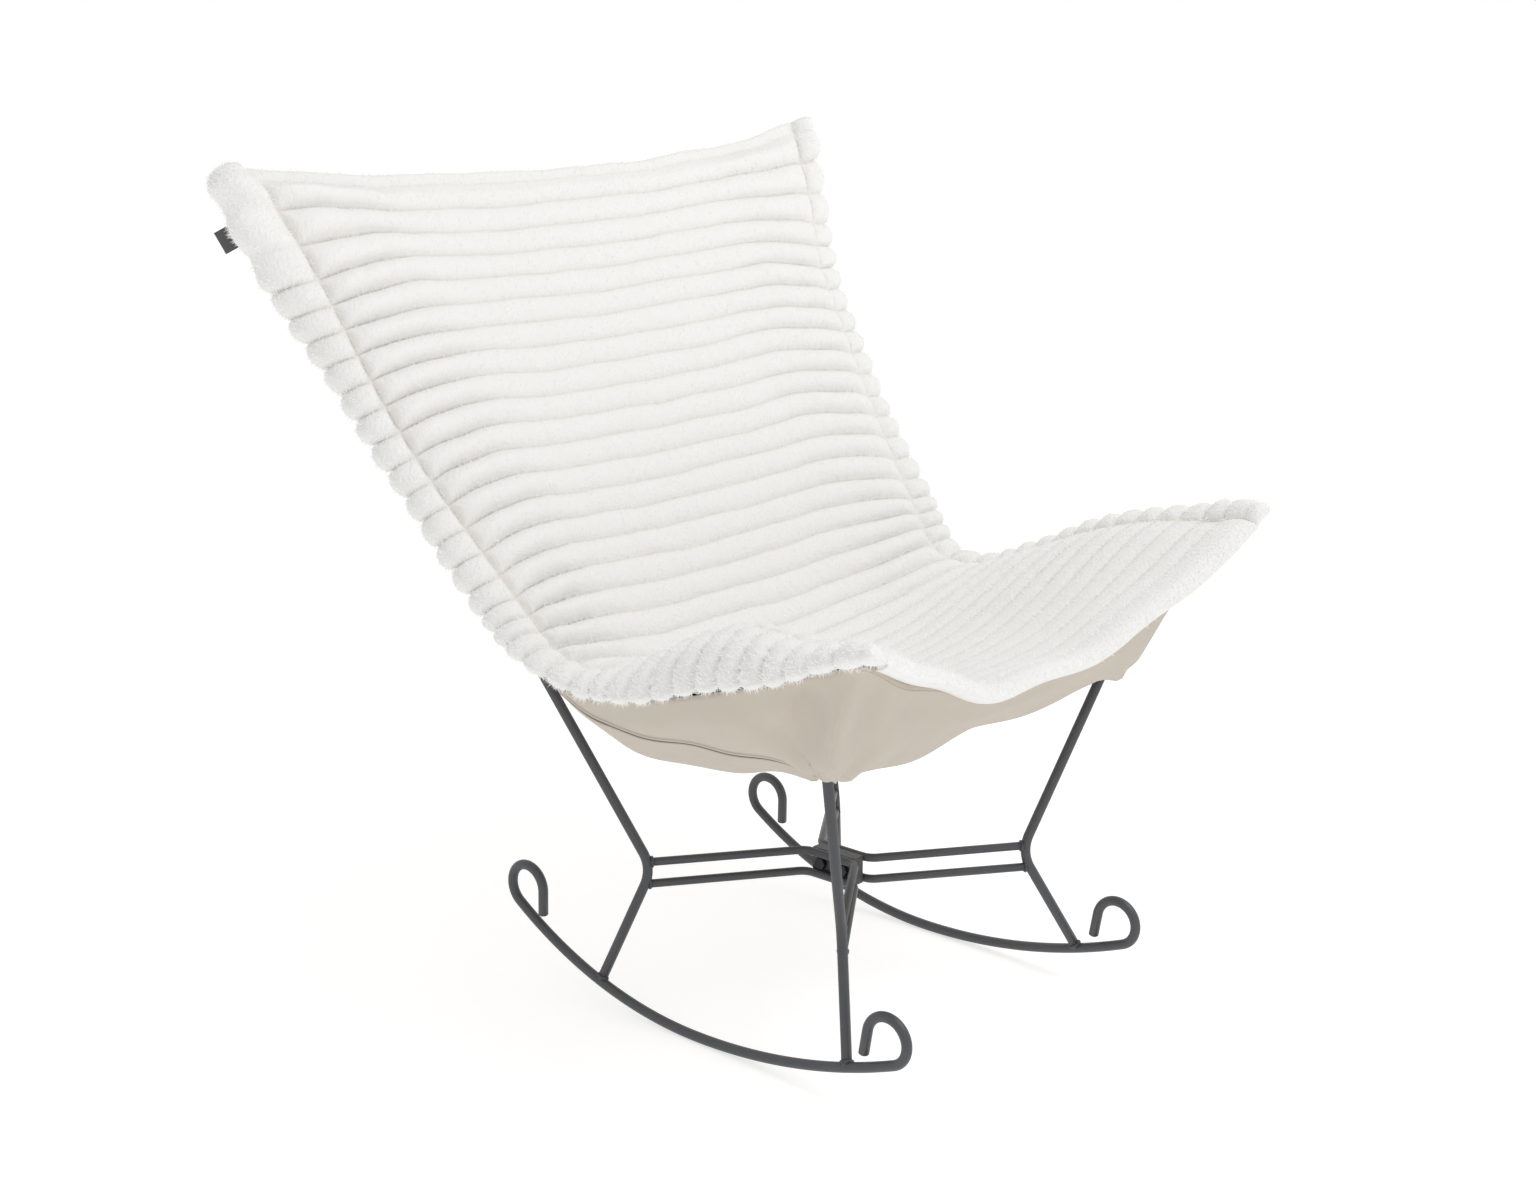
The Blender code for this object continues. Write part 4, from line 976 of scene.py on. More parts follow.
cover_mesh = run_nodes(pad, sewn_ribs_tree(), {"Roundness": RIB_ROUNDNESS, "Seam wander": SEAM_WANDER,
                                               "Uneven": RIB_UNEVEN, "Cloth": PLUSH})
cover = place_piece("plush_cushion", cover_mesh, "white_plush", "plush_cover", "cushion_fill")
bpy.data.objects.remove(pad)
print("cover", len(cover.data.polygons), "faces")

# %% [markdown]
# Pile at the edges
#
# On the broad faces the pile only shows as a soft relief, but along the border and the hems it breaks up the
# outline. There a tree scatters short tapered fibres over the cover, dense on the border and thin on the
# ribs, each leaning its own way. Particle hair could do it too, but it doesn't become a plain mesh as easily.
# The seed is fixed, so the fibres grow the same way each time.

# %% Pile fringe
PILE_DENSITY, PILE_LENGTH, PILE_WIDTH, PILE_LEAN, PILE_SEED = 100000.0, 0.0062, 0.00045, 0.8, 7
PILE_SIZES, PILE_TONES = (0.6, 1.15), (0.0, 0.3)
PILE_WHITE, PILE_CREAM, PILE_GLOW = (0.50, 0.50, 0.49, 1), (0.46, 0.45, 0.43, 1), 0.42


def pile_material():
    """The cover's white, with a faint glow for the light that passes through so thin a fibre."""
    made, tree, shader = shader_material("white_pile", {
        "Emission Color": WHITE, "Emission Strength": PILE_GLOW, "Roughness": 0.95,
        "Specular IOR Level": 0.0})
    tone = carried(tree, "fibre_tone", "Fac")
    feed(tree, shader, {"Base Color": mix_colours(tree, tone, PILE_WHITE, PILE_CREAM)})
    return made


def random_size(tree, seed, low, high):
    """A random number for each point."""
    inputs = {2: low, 3: high, "Seed": seed}
    return add_node(tree, "FunctionNodeRandomValue", inputs, data_type="FLOAT").outputs[1]


def pile_fringe_tree():
    """Scatter short tapered fibres where the cover's fringe value asks for them."""
    tree, given, result = shape_tree("pile_fringe", {"Density": 1000.0, "Length": 0.005, "Width": 0.0005,
                                                     "Lean": 0.5, "Seed": 0, "Cloth": MATERIAL})
    density = maths(tree, "MULTIPLY", fact(tree, "fringe"), given["Density"])
    roots = add_node(tree, "GeometryNodeDistributePointsOnFaces", {
        "Mesh": given["Geometry"], "Seed": given["Seed"], "Density": density}).outputs
    fibre = add_node(tree, "GeometryNodeMeshCone", {
        "Vertices": 3, "Side Segments": 1, "Radius Top": 0.0, "Radius Bottom": given["Width"],
        "Depth": given["Length"]}, fill_type="NONE")
    any_way = add_node(tree, "FunctionNodeRandomValue", {"Seed": given["Seed"]}, data_type="FLOAT_VECTOR")
    centred = add_node(tree, "ShaderNodeVectorMath", {0: any_way.outputs[0], 1: (0.5, 0.5, 0.5)},
                       operation="SUBTRACT")
    lean = scaled(tree, centred.outputs[0], maths(tree, "MULTIPLY", given["Lean"], 2.0))
    turn = add_node(tree, "FunctionNodeEulerToRotation", {0: lean})
    rotation = add_node(tree, "FunctionNodeRotateRotation", {0: roots["Rotation"], 1: turn.outputs[0]},
                        rotation_space="LOCAL")
    size, tone = (random_size(tree, given["Seed"], *limits) for limits in (PILE_SIZES, PILE_TONES))
    spread = add_node(tree, "GeometryNodeInstanceOnPoints", {
        "Points": mark(tree, roots["Points"], "fibre_tone", tone), "Instance": fibre.outputs["Mesh"],
        "Rotation": rotation.outputs[0], "Scale": size})
    return end_shape(tree, result, spread.outputs[0], given["Cloth"], smooth=False)


fringe_mesh = run_nodes(cover, pile_fringe_tree(), {
    "Density": PILE_DENSITY, "Length": PILE_LENGTH, "Width": PILE_WIDTH, "Lean": PILE_LEAN, "Seed": PILE_SEED,
    "Cloth": pile_material()})
fringe = place_piece("plush_fringe", fringe_mesh, "white_plush")
print("fringe", len(fringe.data.polygons), "faces")

# %% [markdown]
# Canvas underside: its depth
#
# Under the pad hangs a slack canvas bag. It is sewn to the border, hangs a little away from the back, and at
# the front it is drawn down to the two rods, which end in pockets sewn into it. A cloth simulation could hang
# it, but its shape is known from the photograph, so it is written as a depth under the sling's surface: a
# belly, and two rounded peaks that reach down to the rods.

# %% Slack bag
BAG_RIM, BAG_BACK, BAG_SEAT, BAG_SEAT_POWER = 0.005, 0.026, 0.075, 3
SEAT_BLEND_LENGTH, TOP_TAPER, FRONT_TAPER = 0.110, 0.100, 0.090
FRONT_THINNING, CORNER_THINNING = 0.45, 0.95


def seat_share(along):
    """0 on the back, 1 on the seat."""
    return smooth_step((along - CORNER_PLACE) * SLING_LENGTH / SEAT_BLEND_LENGTH + 0.5)


def forward_share(along):
    """0 at the corner, 1 where the front taper starts."""
    return np.clip((along - CORNER_PLACE) / (1 - FRONT_TAPER / SLING_LENGTH - CORNER_PLACE), 0, 1)


def end_taper(along):
    """1 over most of the sling, 0 at its two ends."""
    return np.minimum(smooth_step(along * SLING_LENGTH / TOP_TAPER),
                      np.clip((1 - along) * SLING_LENGTH / FRONT_TAPER, 0, 1))


def bag_depth(across, along):
    """Depth of the slack bag under the sling's surface."""
    forward = forward_share(along)
    back = BAG_BACK * (1 - across ** 2)
    seat = BAG_SEAT * (1 - np.abs(across) ** BAG_SEAT_POWER) * (1 - FRONT_THINNING * forward)
    seat = seat * (1 - CORNER_THINNING * (forward * across) ** 2)
    return BAG_RIM + (back + (seat - back) * seat_share(along)) * end_taper(along)


print("bag hangs by", BAG_BACK, "behind and", BAG_SEAT, "below")

# %% Pull of the pockets
POCKET_DROP_POWER, INNER_PULL_POWER, NEAR_PULL_POWER, FAR_PULL_POWER = 1.5, 1.5, 1.0, 2.4
RIDGE_SOFTNESS = 0.16
CANVAS_GAP, CANVAS_END_GAP, CANVAS_EDGE_GAP = 0.003, 0.0015, 0.0003
FRONT_KNEE, FRONT_LEAN = np.array((0.1675, -0.147, 0.166)), np.array((0.398, -0.233, 1.0))
FRONT_MOUTH_HEIGHT, MOUTH_OFFSET = 0.386, np.array((0.010, -0.006, 0.0))
FRONT_MOUTH = FRONT_KNEE + FRONT_LEAN * (FRONT_MOUTH_HEIGHT - FRONT_KNEE[2]) + TO_WORLD
SEARCH_STEPS = 60


def pocket_share(along):
    """How much of the pockets' drop a place along the seat has."""
    return forward_share(along) ** POCKET_DROP_POWER * seat_share(along) * end_taper(along)


def under_sling(spot):
    """A point's place across and along the sling, and its depth under it."""
    across, along, depth = spot[0] / SEAT_HALF_WIDTH, (1 + CORNER_PLACE) / 2, 0.0
    for _ in range(SEARCH_STEPS):
        _, forward, normal = sling_axes(across, along)
        miss = spot - sling(across, along)
        depth = -miss @ normal
        miss = miss + normal * depth
        across += miss[0] / half_width(along)
        along += miss @ forward / SLING_LENGTH
    return across, along, depth


MOUTH_ACROSS, MOUTH_PLACE, MOUTH_DEPTH = under_sling(FRONT_MOUTH + MOUTH_OFFSET)


def canvas_depth(across, along):
    """Depth of the canvas under the sling's surface."""
    side = np.abs(across)
    reach = np.clip((1 - side) / (1 - STITCH_LINE), 0, 1)
    power = np.where(np.asarray(across) < 0, NEAR_PULL_POWER, FAR_PULL_POWER)
    inner = (side / MOUTH_ACROSS) ** INNER_PULL_POWER
    outer = (np.maximum(0, 1 - side) / (1 - MOUTH_ACROSS)) ** power
    blend = np.clip(0.5 + (outer - inner) / (2 * RIDGE_SOFTNESS), 0, 1)
    pull = outer + (inner - outer) * blend - RIDGE_SOFTNESS * blend * (1 - blend)
    row_end = np.clip(np.minimum(along, 1 - along) * RIBS, 0, 1)
    inside = CANVAS_END_GAP + (bag_depth(across, along) + CANVAS_GAP - CANVAS_END_GAP) * row_end
    mouth_drop = MOUTH_DEPTH - bag_depth(MOUTH_ACROSS, MOUTH_PLACE) - CANVAS_GAP
    drop = mouth_drop * pull / (1 - RIDGE_SOFTNESS / 4) * pocket_share(along) / pocket_share(MOUTH_PLACE)
    return CANVAS_EDGE_GAP + (inside + drop - CANVAS_EDGE_GAP) * reach


print("front pocket at", [round(float(value), 3) for value in (MOUTH_ACROSS, MOUTH_PLACE, MOUTH_DEPTH)])

# %% [markdown]
# The rockers
#
# Each bar of the frame is round steel, bent cold and welded. The rocker is one slow curve, tighter behind
# than in front, with a curl at each end. It could be traced as a chain of points, but two radii, the angle of
# the curl and its tail describe it the way it is bent.

# %% Rocker path
BAR_RADIUS = 0.006
ROCKER_X, ROCKER_BOTTOM_Y, ROCKER_STEPS = 0.218, 0.030, 90
ROCKER_FRONT_RADIUS, ROCKER_REAR_RADIUS = 0.776, 0.530
ROCKER_FRONT_END, ROCKER_REAR_END = -0.263, 0.322
CURL_RADIUS, CURL_TURN, CURL_TAIL, CURL_STEPS = 0.027, math.radians(238), 0.030, 40


def rocker_height(y):
    """Height of the rocker's centre line."""
    radius = np.where(y < ROCKER_BOTTOM_Y, ROCKER_FRONT_RADIUS, ROCKER_REAR_RADIUS)
    return BAR_RADIUS + radius - np.sqrt(radius ** 2 - (y - ROCKER_BOTTOM_Y) ** 2)


def curl(start, heading, sense):
    """The curl and its straight tail, from the end of the rocker's arc."""
    angles = heading + sense * CURL_TURN * (np.arange(CURL_STEPS) + 0.5) / CURL_STEPS
    steps = np.stack([np.cos(angles), np.sin(angles)], axis=-1) * CURL_RADIUS * CURL_TURN / CURL_STEPS
    bent = start + np.cumsum(steps, axis=0)
    last = heading + sense * CURL_TURN
    return np.vstack([bent, bent[-1] + CURL_TAIL * np.array((math.cos(last), math.sin(last)))])


def rocker_path():
    """The rocker's centre line from one curl's tail to the other's."""
    y = np.linspace(ROCKER_FRONT_END, ROCKER_REAR_END, ROCKER_STEPS)
    arc = np.stack([y, rocker_height(y)], axis=-1)
    front_turn = math.pi - math.asin((ROCKER_BOTTOM_Y - ROCKER_FRONT_END) / ROCKER_FRONT_RADIUS)
    rear_turn = math.asin((ROCKER_REAR_END - ROCKER_BOTTOM_Y) / ROCKER_REAR_RADIUS)
    flat = np.vstack([curl(arc[0], front_turn, -1)[::-1], arc, curl(arc[-1], rear_turn, 1)])
    return np.column_stack([np.full(len(flat), ROCKER_X), flat]) + TO_WORLD


print("rocker from", ROCKER_FRONT_END, "to", ROCKER_REAR_END)

# %% [markdown]
# Uprights and stretchers
#
# An upright leans in from the rocker to its knee and out to its tip, and two stretchers run from knee to knee
# past the hub. Their middle lines could be drawn by hand as curves, but a few corners and a bend radius are
# all that a bender needs, so each path is worked out from those. The rear tips end behind the canvas.

# %% Bar paths
FRONT_FOOT_Y, REAR_FOOT_Y = -0.198, 0.183
REAR_KNEE = np.array((0.1675, 0.145, 0.166))
KNEE_BEND, STRETCHER_BEND, BEND_STEPS = 0.045, 0.020, 14
STRETCHER_RADIUS, STRETCHER_X, STRETCHER_STRAIGHT = 0.005, 0.01345, 0.0373
STRETCHER_HEIGHTS = {"upper": 0.17375, "lower": 0.14725}
FRONT_TIP_HEIGHT = 0.442
FRONT_TIP = FRONT_KNEE + TO_WORLD + FRONT_LEAN * (FRONT_TIP_HEIGHT - FRONT_KNEE[2])
# The rear tips lie behind the canvas in pockets, as deep as the pocket's radius, its rest and the canvas.
REAR_POCKET_TOP, REAR_POCKET_RADIUS, POCKET_REST, CANVAS_WALL = 0.040, 0.00978, 0.0013, 0.0020
REAR_ACROSS, REAR_PLACE = STITCH_LINE - REAR_POCKET_TOP / TOP_HALF_WIDTH, TOP_TAPER / SLING_LENGTH / 2
REAR_NORMAL = sling_axes(REAR_ACROSS, REAR_PLACE)[2]
REAR_DEPTH = float(canvas_depth(REAR_ACROSS, REAR_PLACE)) + (CANVAS_WALL + POCKET_REST) + REAR_POCKET_RADIUS
REAR_TIP = sling(REAR_ACROSS, REAR_PLACE) - REAR_NORMAL * REAR_DEPTH


def rounded_path(corners, radius):
    """A path through corners, with the ones in between rounded."""
    path = [corners[0]]
    for before, here, after in zip(corners, corners[1:], corners[2:]):
        into, out = unit(before - here), unit(after - here)
        half_angle = math.acos(into @ out) / 2
        centre = here + unit(into + out) * radius / math.sin(half_angle)
        reach = radius / math.tan(half_angle)
        start, end = here + into * reach - centre, here + out * reach - centre
        sweep = math.pi - 2 * half_angle
        for share in np.linspace(0, 1, BEND_STEPS):
            turned = start * math.sin((1 - share) * sweep) + end * math.sin(share * sweep)
            path.append(centre + turned / math.sin(sweep))
    return np.array(path + [corners[-1]])


def upright_path(foot_y, knee, tip):
    """An upright from the rocker in to its knee and out to its tip."""
    foot = np.array((ROCKER_X, foot_y, float(rocker_height(foot_y))))
    return rounded_path([foot + TO_WORLD, knee + TO_WORLD, tip], KNEE_BEND)


FRONT_PATH = upright_path(FRONT_FOOT_Y, FRONT_KNEE, FRONT_TIP)
REAR_PATH = upright_path(REAR_FOOT_Y, REAR_KNEE, REAR_TIP)


def at_height(path, height):
    """The point of a rising path at a height."""
    return np.array([np.interp(height, path[:, 2], path[:, axis]) for axis in range(3)])


def stretcher_path(height):
    """A stretcher from the rear knee past the hub to the front knee."""
    hub = [np.array((STRETCHER_X, y, height)) + TO_WORLD for y in (STRETCHER_STRAIGHT, -STRETCHER_STRAIGHT)]
    return rounded_path([at_height(REAR_PATH, height), *hub, at_height(FRONT_PATH, height)], STRETCHER_BEND)


BARS = {"rocker": (rocker_path(), BAR_RADIUS), "front_upright": (FRONT_PATH, BAR_RADIUS),
        "rear_upright": (REAR_PATH, BAR_RADIUS)}
for level, height in STRETCHER_HEIGHTS.items():
    BARS[f"{level}_stretcher"] = (stretcher_path(height), STRETCHER_RADIUS)
print("bars", list(BARS))

# %% [markdown]
# Bent bars
#
# A bevelled curve would do for one bar, but ten bars share one rule, so one tree makes them all: it turns a
# path into a curve, sweeps a circle along it and closes the ends, with a small chamfer from the cut. The bars
# take the place of the plain solids, whose rounds are coarser.

# %% Bent bars
BAR_SIDES, END_CHAMFER = 24, 0.0012


def bent_bar_tree():
    """Sweep a circle along a path, thinner at the cut ends, and close the ends."""
    tree, given, result = shape_tree("bent_bar", {"Radius": 0.006, "Sides": 24, "Finish": MATERIAL})
    curve = add_node(tree, "GeometryNodeMeshToCurve", {"Mesh": given["Geometry"]})
    share = fact(tree, "share")
    thick = add_node(tree, "GeometryNodeSetCurveRadius", {"Curve": curve.outputs[0], "Radius": share})
    circle = add_node(tree, "GeometryNodeCurvePrimitiveCircle", {
        "Resolution": given["Sides"], "Radius": given["Radius"]}, mode="RADIUS")
    swept = add_node(tree, "GeometryNodeCurveToMesh", {
        "Curve": thick.outputs[0], "Profile Curve": circle.outputs[0], "Scale": share, "Fill Caps": True})
    return end_shape(tree, result, swept.outputs[0], given["Finish"])


BENT_BAR = bent_bar_tree()


def grow(name, points, edges, tree, values, **facts):
    """The plain mesh that a tree makes from points and edges that are only needed for it."""
    mesh = bpy.data.meshes.new(name)
    mesh.from_pydata(points.tolist(), edges, [])
    for label, carried_values in facts.items():
        store(mesh, label, carried_values)
    host = mesh_object(name, mesh)
    made = run_nodes(host, tree, values)
    bpy.data.objects.remove(host)
    return made


def bar_mesh(path, radius, material):
    """A bar along a path, with its cut ends chamfered."""
    first, last = unit(path[1] - path[0]) * END_CHAMFER, unit(path[-2] - path[-1]) * END_CHAMFER
    path = np.vstack([path[:1], path[0] + first, path[1:-1], path[-1] + last, path[-1:]])
    share = np.ones(len(path))
    share[[0, -1]] = 1 - END_CHAMFER / radius
    edges = [(number, number + 1) for number in range(len(path) - 1)]
    return grow("bar_line", path, edges, BENT_BAR, {"Radius": radius, "Sides": BAR_SIDES, "Finish": material},
                share=share)


SIDES = {"left": 1, "right": -1}
for bar_name, (path, radius) in BARS.items():
    for side_name, side in SIDES.items():
        bar = bar_mesh(path * np.array((side, 1, 1)), radius, POWDER_COAT)
        place_piece(f"{bar_name}_bar_{side_name}", bar, "charcoal_powder_coat", f"{bar_name}_{side_name}")
print("bars bent", len(BARS) * len(SIDES))

# %% [markdown]
# Welds
#
# Where two bars meet, a weld leaves a ring of small overlapping beads under the coat. A plain ring would be
# too even, so a tree sets a rounded bead on each point of a ring, a little larger or smaller from one to the
# next, with a fixed seed.

# %% Weld beads
WELD_BEADS, BEAD_RADIUS, BEAD_SIZES, BEAD_SEED = 16, 0.0021, (0.75, 1.15), 3
STEEP = 0.9


def axes_along(axis, facing):
    """Two unit vectors square to an axis, the second as near as it can be to a direction."""
    outward = unit(facing - axis * (facing @ axis))
    return np.cross(outward, axis), outward


def circle_points(angles, sideways, outward):
    """Points of a circle with a radius of one."""
    return np.cos(angles)[:, None] * sideways + np.sin(angles)[:, None] * outward


def weld_ring(end, following, radius):
    """Points around a bar's end, just above the bar that it is welded to."""
    axis = unit(following - end)
    facing = np.array((0.0, 0.0, 1.0)) if abs(axis[2]) < STEEP else np.array((1.0, 0.0, 0.0))
    angles = np.linspace(0, 2 * math.pi, WELD_BEADS, endpoint=False)
    return end + axis * BAR_RADIUS + radius * circle_points(angles, *axes_along(axis, facing))


def weld_beads_tree():
    """A rounded bead on each point."""
    tree, given, result = shape_tree("weld_beads", {"Radius": 0.002, "Seed": 0, "Finish": MATERIAL})
    bead = add_node(tree, "GeometryNodeMeshUVSphere", {"Segments": 10, "Rings": 6, "Radius": given["Radius"]})
    spread = add_node(tree, "GeometryNodeInstanceOnPoints", {
        "Points": given["Geometry"], "Instance": bead.outputs["Mesh"],
        "Scale": random_size(tree, given["Seed"], *BEAD_SIZES)})
    return end_shape(tree, result, spread.outputs[0], given["Finish"])


weld_rings = [weld_ring(path[0], path[1], BAR_RADIUS) for path in (FRONT_PATH, REAR_PATH)]
for level in STRETCHER_HEIGHTS:
    path = BARS[f"{level}_stretcher"][0]
    weld_rings.append(weld_ring(path[0], path[1], STRETCHER_RADIUS))
    weld_rings.append(weld_ring(path[-1], path[-2], STRETCHER_RADIUS))
WELD_BEAD_TREE = weld_beads_tree()
for side_name, side in SIDES.items():
    beads = grow("weld_spots", np.vstack(weld_rings) * np.array((side, 1, 1)), [], WELD_BEAD_TREE,
                 {"Radius": BEAD_RADIUS, "Seed": BEAD_SEED, "Finish": POWDER_COAT})
    place_piece(f"welds_{side_name}", beads, "charcoal_powder_coat")
print("weld rings on each side", len(weld_rings))

# %% [markdown]
# Canvas finish
#
# The underside is plain-woven cotton canvas, with a nap that catches the light in soft patches. The weave
# group gives the threads and the grain group the nap, and both read each point's place in the flat cloth, so
# the threads bend with the folds, where a pattern on Object coordinates would cut straight through them. The
# tag is the same weave in dark grey, with finer threads.

# %% Canvas material
CANVAS_NAP = {"Coarse": 35.0, "Fine": 500.0, "Fine share": 0.4}
GAP_SHADE, PATCH_SHADE = 0.35, 0.4
THREAD_HEIGHT, CLOTH_STRENGTH = 0.5, 0.6


def canvas_material(name, light, dark, threads, relief):
    """Plain-woven cloth with a nap."""
    made, tree, shader = shader_material(name, {
        "Roughness": 0.9, "Specular IOR Level": 0.2, "Sheen Weight": 0.1})
    place = carried(tree, "cloth_place", "Vector")
    weave = place_group(tree, PLAIN_WEAVE, {"Vector": place, "Threads per metre": threads})
    nap = place_group(tree, FINE_RELIEF, {"Vector": place, **CANVAS_NAP})
    patches = maths(tree, "MULTIPLY", nap["Patches"], PATCH_SHADE)
    share = maths(tree, "MULTIPLY_ADD", weave["Gaps"], GAP_SHADE, patches, clamp=True)
    height = maths(tree, "MULTIPLY_ADD", weave["Height"], THREAD_HEIGHT, nap["Height"])
    feed(tree, shader, {"Base Color": mix_colours(tree, share, light, dark),
                        "Normal": bump(tree, height, relief, CLOTH_STRENGTH)})
    return made


CANVAS = canvas_material("beige_canvas", (0.60, 0.54, 0.465, 1), (0.50, 0.445, 0.38, 1),
                         threads=1000.0, relief=0.0006)
TAG_CLOTH = canvas_material("grey_tag_cloth", (0.13, 0.13, 0.135, 1), (0.08, 0.08, 0.085, 1),
                            threads=2200.0, relief=0.0003)
print("cloth", CANVAS.name, TAG_CLOTH.name)

# %% [markdown]
# Canvas underside: the sheet
#
# The canvas is one sheet of cloth, so it is a grid of points with a thickness, and not a block. Each point
# hangs at its depth, with slack waves over the belly, creases that fan out from each pocket, and on the near
# side a soft ridge from the pocket to the front corner. Outside the stitched line the sheet runs out to the
# border that it is sewn to.

# %% Cloth


def cloth_mesh(name, points, place, thickness, material):
    """A sheet of cloth over a grid of points. Each keeps its place in the flat cloth, for the weave."""
    rows, columns = points.shape[:2]
    number = np.arange(rows * columns).reshape(rows, columns)
    corners = (number[:-1, :-1], number[:-1, 1:], number[1:, 1:], number[1:, :-1])
    faces = np.stack(corners, axis=-1).reshape(-1, 4)
    mesh = bpy.data.meshes.new(name)
    mesh.from_pydata(points.reshape(-1, 3).tolist(), [], faces.tolist())
    store(mesh, "cloth_place", place)
    mesh.shade_smooth()
    host = mesh_object("cloth_grid", mesh, material)
    wall = host.modifiers.new("thickness", "SOLIDIFY")
    wall.thickness = thickness
    wall.offset = 0.0
    made = plain_mesh(host)
    bpy.data.objects.remove(host)
    return made


print("cloth helper ready")

# %% Canvas folds
CANVAS_EDGE, CANVAS_THICKNESS = 0.985, 0.0016
LOOSE_DEPTH, LOOSE_POWER, SLACK_FOLD = 0.02, 4, 0.0045
SLACK_WAVES = ((9.0, 21.0), (3.0, 34.0))
RIDGE_HEIGHT, RIDGE_WIDTH, VALLEYS_BESIDE = 0.030, 0.018, ((0.038, 0.015), (-0.036, 0.010))
RIDGE_SLOPE, RIDGE_END, RIDGE_FADE = (0.005, 0.05), 0.95, 0.5
FAN_CREASE, FAN_REACH, FAN_START, FAN_FOLDS, FAN_TURN = 0.007, 0.120, 0.03, 6, 1.0
SEWN_SIDE_SLOPE, SEWN_FRONT_SLOPE = (0.70, 0.18), (0.93, 0.06)


def pocket_folds(across, along):
    """Extra depth near a front pocket: a ridge to the front corner, and creases that fan out."""
    x = (np.abs(across) - MOUTH_ACROSS) * SEAT_HALF_WIDTH
    y = (along - MOUTH_PLACE) * SLING_LENGTH
    end = np.array(((1 - MOUTH_ACROSS) * SEAT_HALF_WIDTH, (1 - MOUTH_PLACE) * SLING_LENGTH))
    length = np.hypot(*end)
    run = (x * end[0] + y * end[1]) / length
    off = (x * end[1] - y * end[0]) / length
    fade = rising(run, *RIDGE_SLOPE) * falling(run, length * RIDGE_END, length * RIDGE_FADE)
    ridge = RIDGE_HEIGHT * np.exp(-(off / RIDGE_WIDTH) ** 2)
    for place, depth in VALLEYS_BESIDE:
        ridge = ridge - depth * np.exp(-((off - place) / RIDGE_WIDTH) ** 2)
    away = np.hypot(x, y)
    fan = np.sin(np.arctan2(y, x) * FAN_FOLDS + FAN_TURN) * np.exp(-away / FAN_REACH)
    fan = fan * smooth_step(away / FAN_START)
    return ridge * fade * (across < 0) + FAN_CREASE * fan * seat_share(along) * end_taper(along)


def canvas_at(across, along):
    """Points of the canvas: slack, drawn down to the pockets, and sewn to the border's outer edge."""
    across, along = np.broadcast_arrays(across, along)
    inner = np.clip(across, -STITCH_LINE, STITCH_LINE)
    depth = canvas_depth(inner, along)
    free = np.clip(depth / LOOSE_DEPTH, 0, 1)
    loose = free * (1 - np.abs(inner) ** LOOSE_POWER)
    first, second = (np.sin(inner * wide + along * long) for wide, long in SLACK_WAVES)
    depth = depth + SLACK_FOLD * loose * (first * second) + pocket_folds(inner, along) * free
    points = sling(inner, along) - sling_axes(inner, along)[2] * (depth + CANVAS_THICKNESS / 2)[..., None]
    sewn = np.maximum(rising(np.abs(inner), *SEWN_SIDE_SLOPE), rising(along, *SEWN_FRONT_SLOPE))
    points[..., 2] += settle(inner, along) * sewn
    edge = np.sign(across) * CANVAS_EDGE
    hem = draped(edge, along) - draped_axes(edge, along)[2] * CANVAS_THICKNESS
    outer = (np.abs(across) - STITCH_LINE) / (CANVAS_EDGE - STITCH_LINE)
    return points + (hem - points) * np.clip(outer, 0, 1)[..., None]


print("ridge", RIDGE_HEIGHT, "creases", FAN_CREASE)

# %% Canvas sheet
CANVAS_COLUMNS, CANVAS_ROWS, CANVAS_RUN = 97, 149, (0.0005, 0.9995)


canvas_across, canvas_along = np.meshgrid(np.linspace(-CANVAS_EDGE, CANVAS_EDGE, CANVAS_COLUMNS),
                                          np.linspace(*CANVAS_RUN, CANVAS_ROWS))
canvas_grid = canvas_at(canvas_across, canvas_along)
canvas_place = flat_place(canvas_across * half_width(canvas_along), canvas_along * SLING_LENGTH)
canvas_mesh = cloth_mesh("canvas_underside", canvas_grid, canvas_place, CANVAS_THICKNESS, CANVAS)
canvas = place_piece("canvas_underside", canvas_mesh, "beige_canvas", "canvas_sling")

# %% [markdown]
# Piped seams
#
# Along each side of the bag runs a seam with a closure: a zip lies between two cords in folded canvas, and
# its dark colour also stands in for the shade in the groove between the cords. A finer cord finishes the
# front hem. A line painted on the canvas would stay flat from the side, so they are cords that follow the
# canvas, and the tree that bent the bars sweeps them as well.

# %% Piping
SEAM_TOP_ACROSS, SEAM_START, SEAM_END_GAP, SEAM_STEPS, SEAM_POWER = 0.95, 0.60, 0.012, 70, 1.4
SEAM_CORD, SEAM_PAIR, ZIP_CORD, ZIP_SHORTER = 0.0020, 0.020, 0.0018, 4
HEM_CORD, HEM_REACH, HEM_PLACE, HEM_STEPS = 0.0016, 0.95, 0.994, 120
LINE_STEP = 0.003
# The zip's dark cloth also stands in for the shade in the groove between the cords.
ZIP_AND_SHADE_CLOTH = canvas_material("taupe_zip_and_shade", (0.20, 0.175, 0.15, 1), (0.13, 0.115, 0.10, 1),
                            threads=1500.0, relief=0.0004)


def canvas_line(across, along, lift):
    """A path on the outer face of the canvas."""
    points = canvas_at(across, along)
    forward = canvas_at(across, along + LINE_STEP) - points
    left = canvas_at(across + LINE_STEP, along) - points
    return points - unit(np.cross(forward, left)) * lift


def piping(name, across, along, radius, material=CANVAS, slot="beige_canvas"):
    """A cord along the outer face of the bag."""
    path = canvas_line(across, along, CANVAS_THICKNESS / 2)
    return place_piece(name, bar_mesh(path, radius, material), slot)


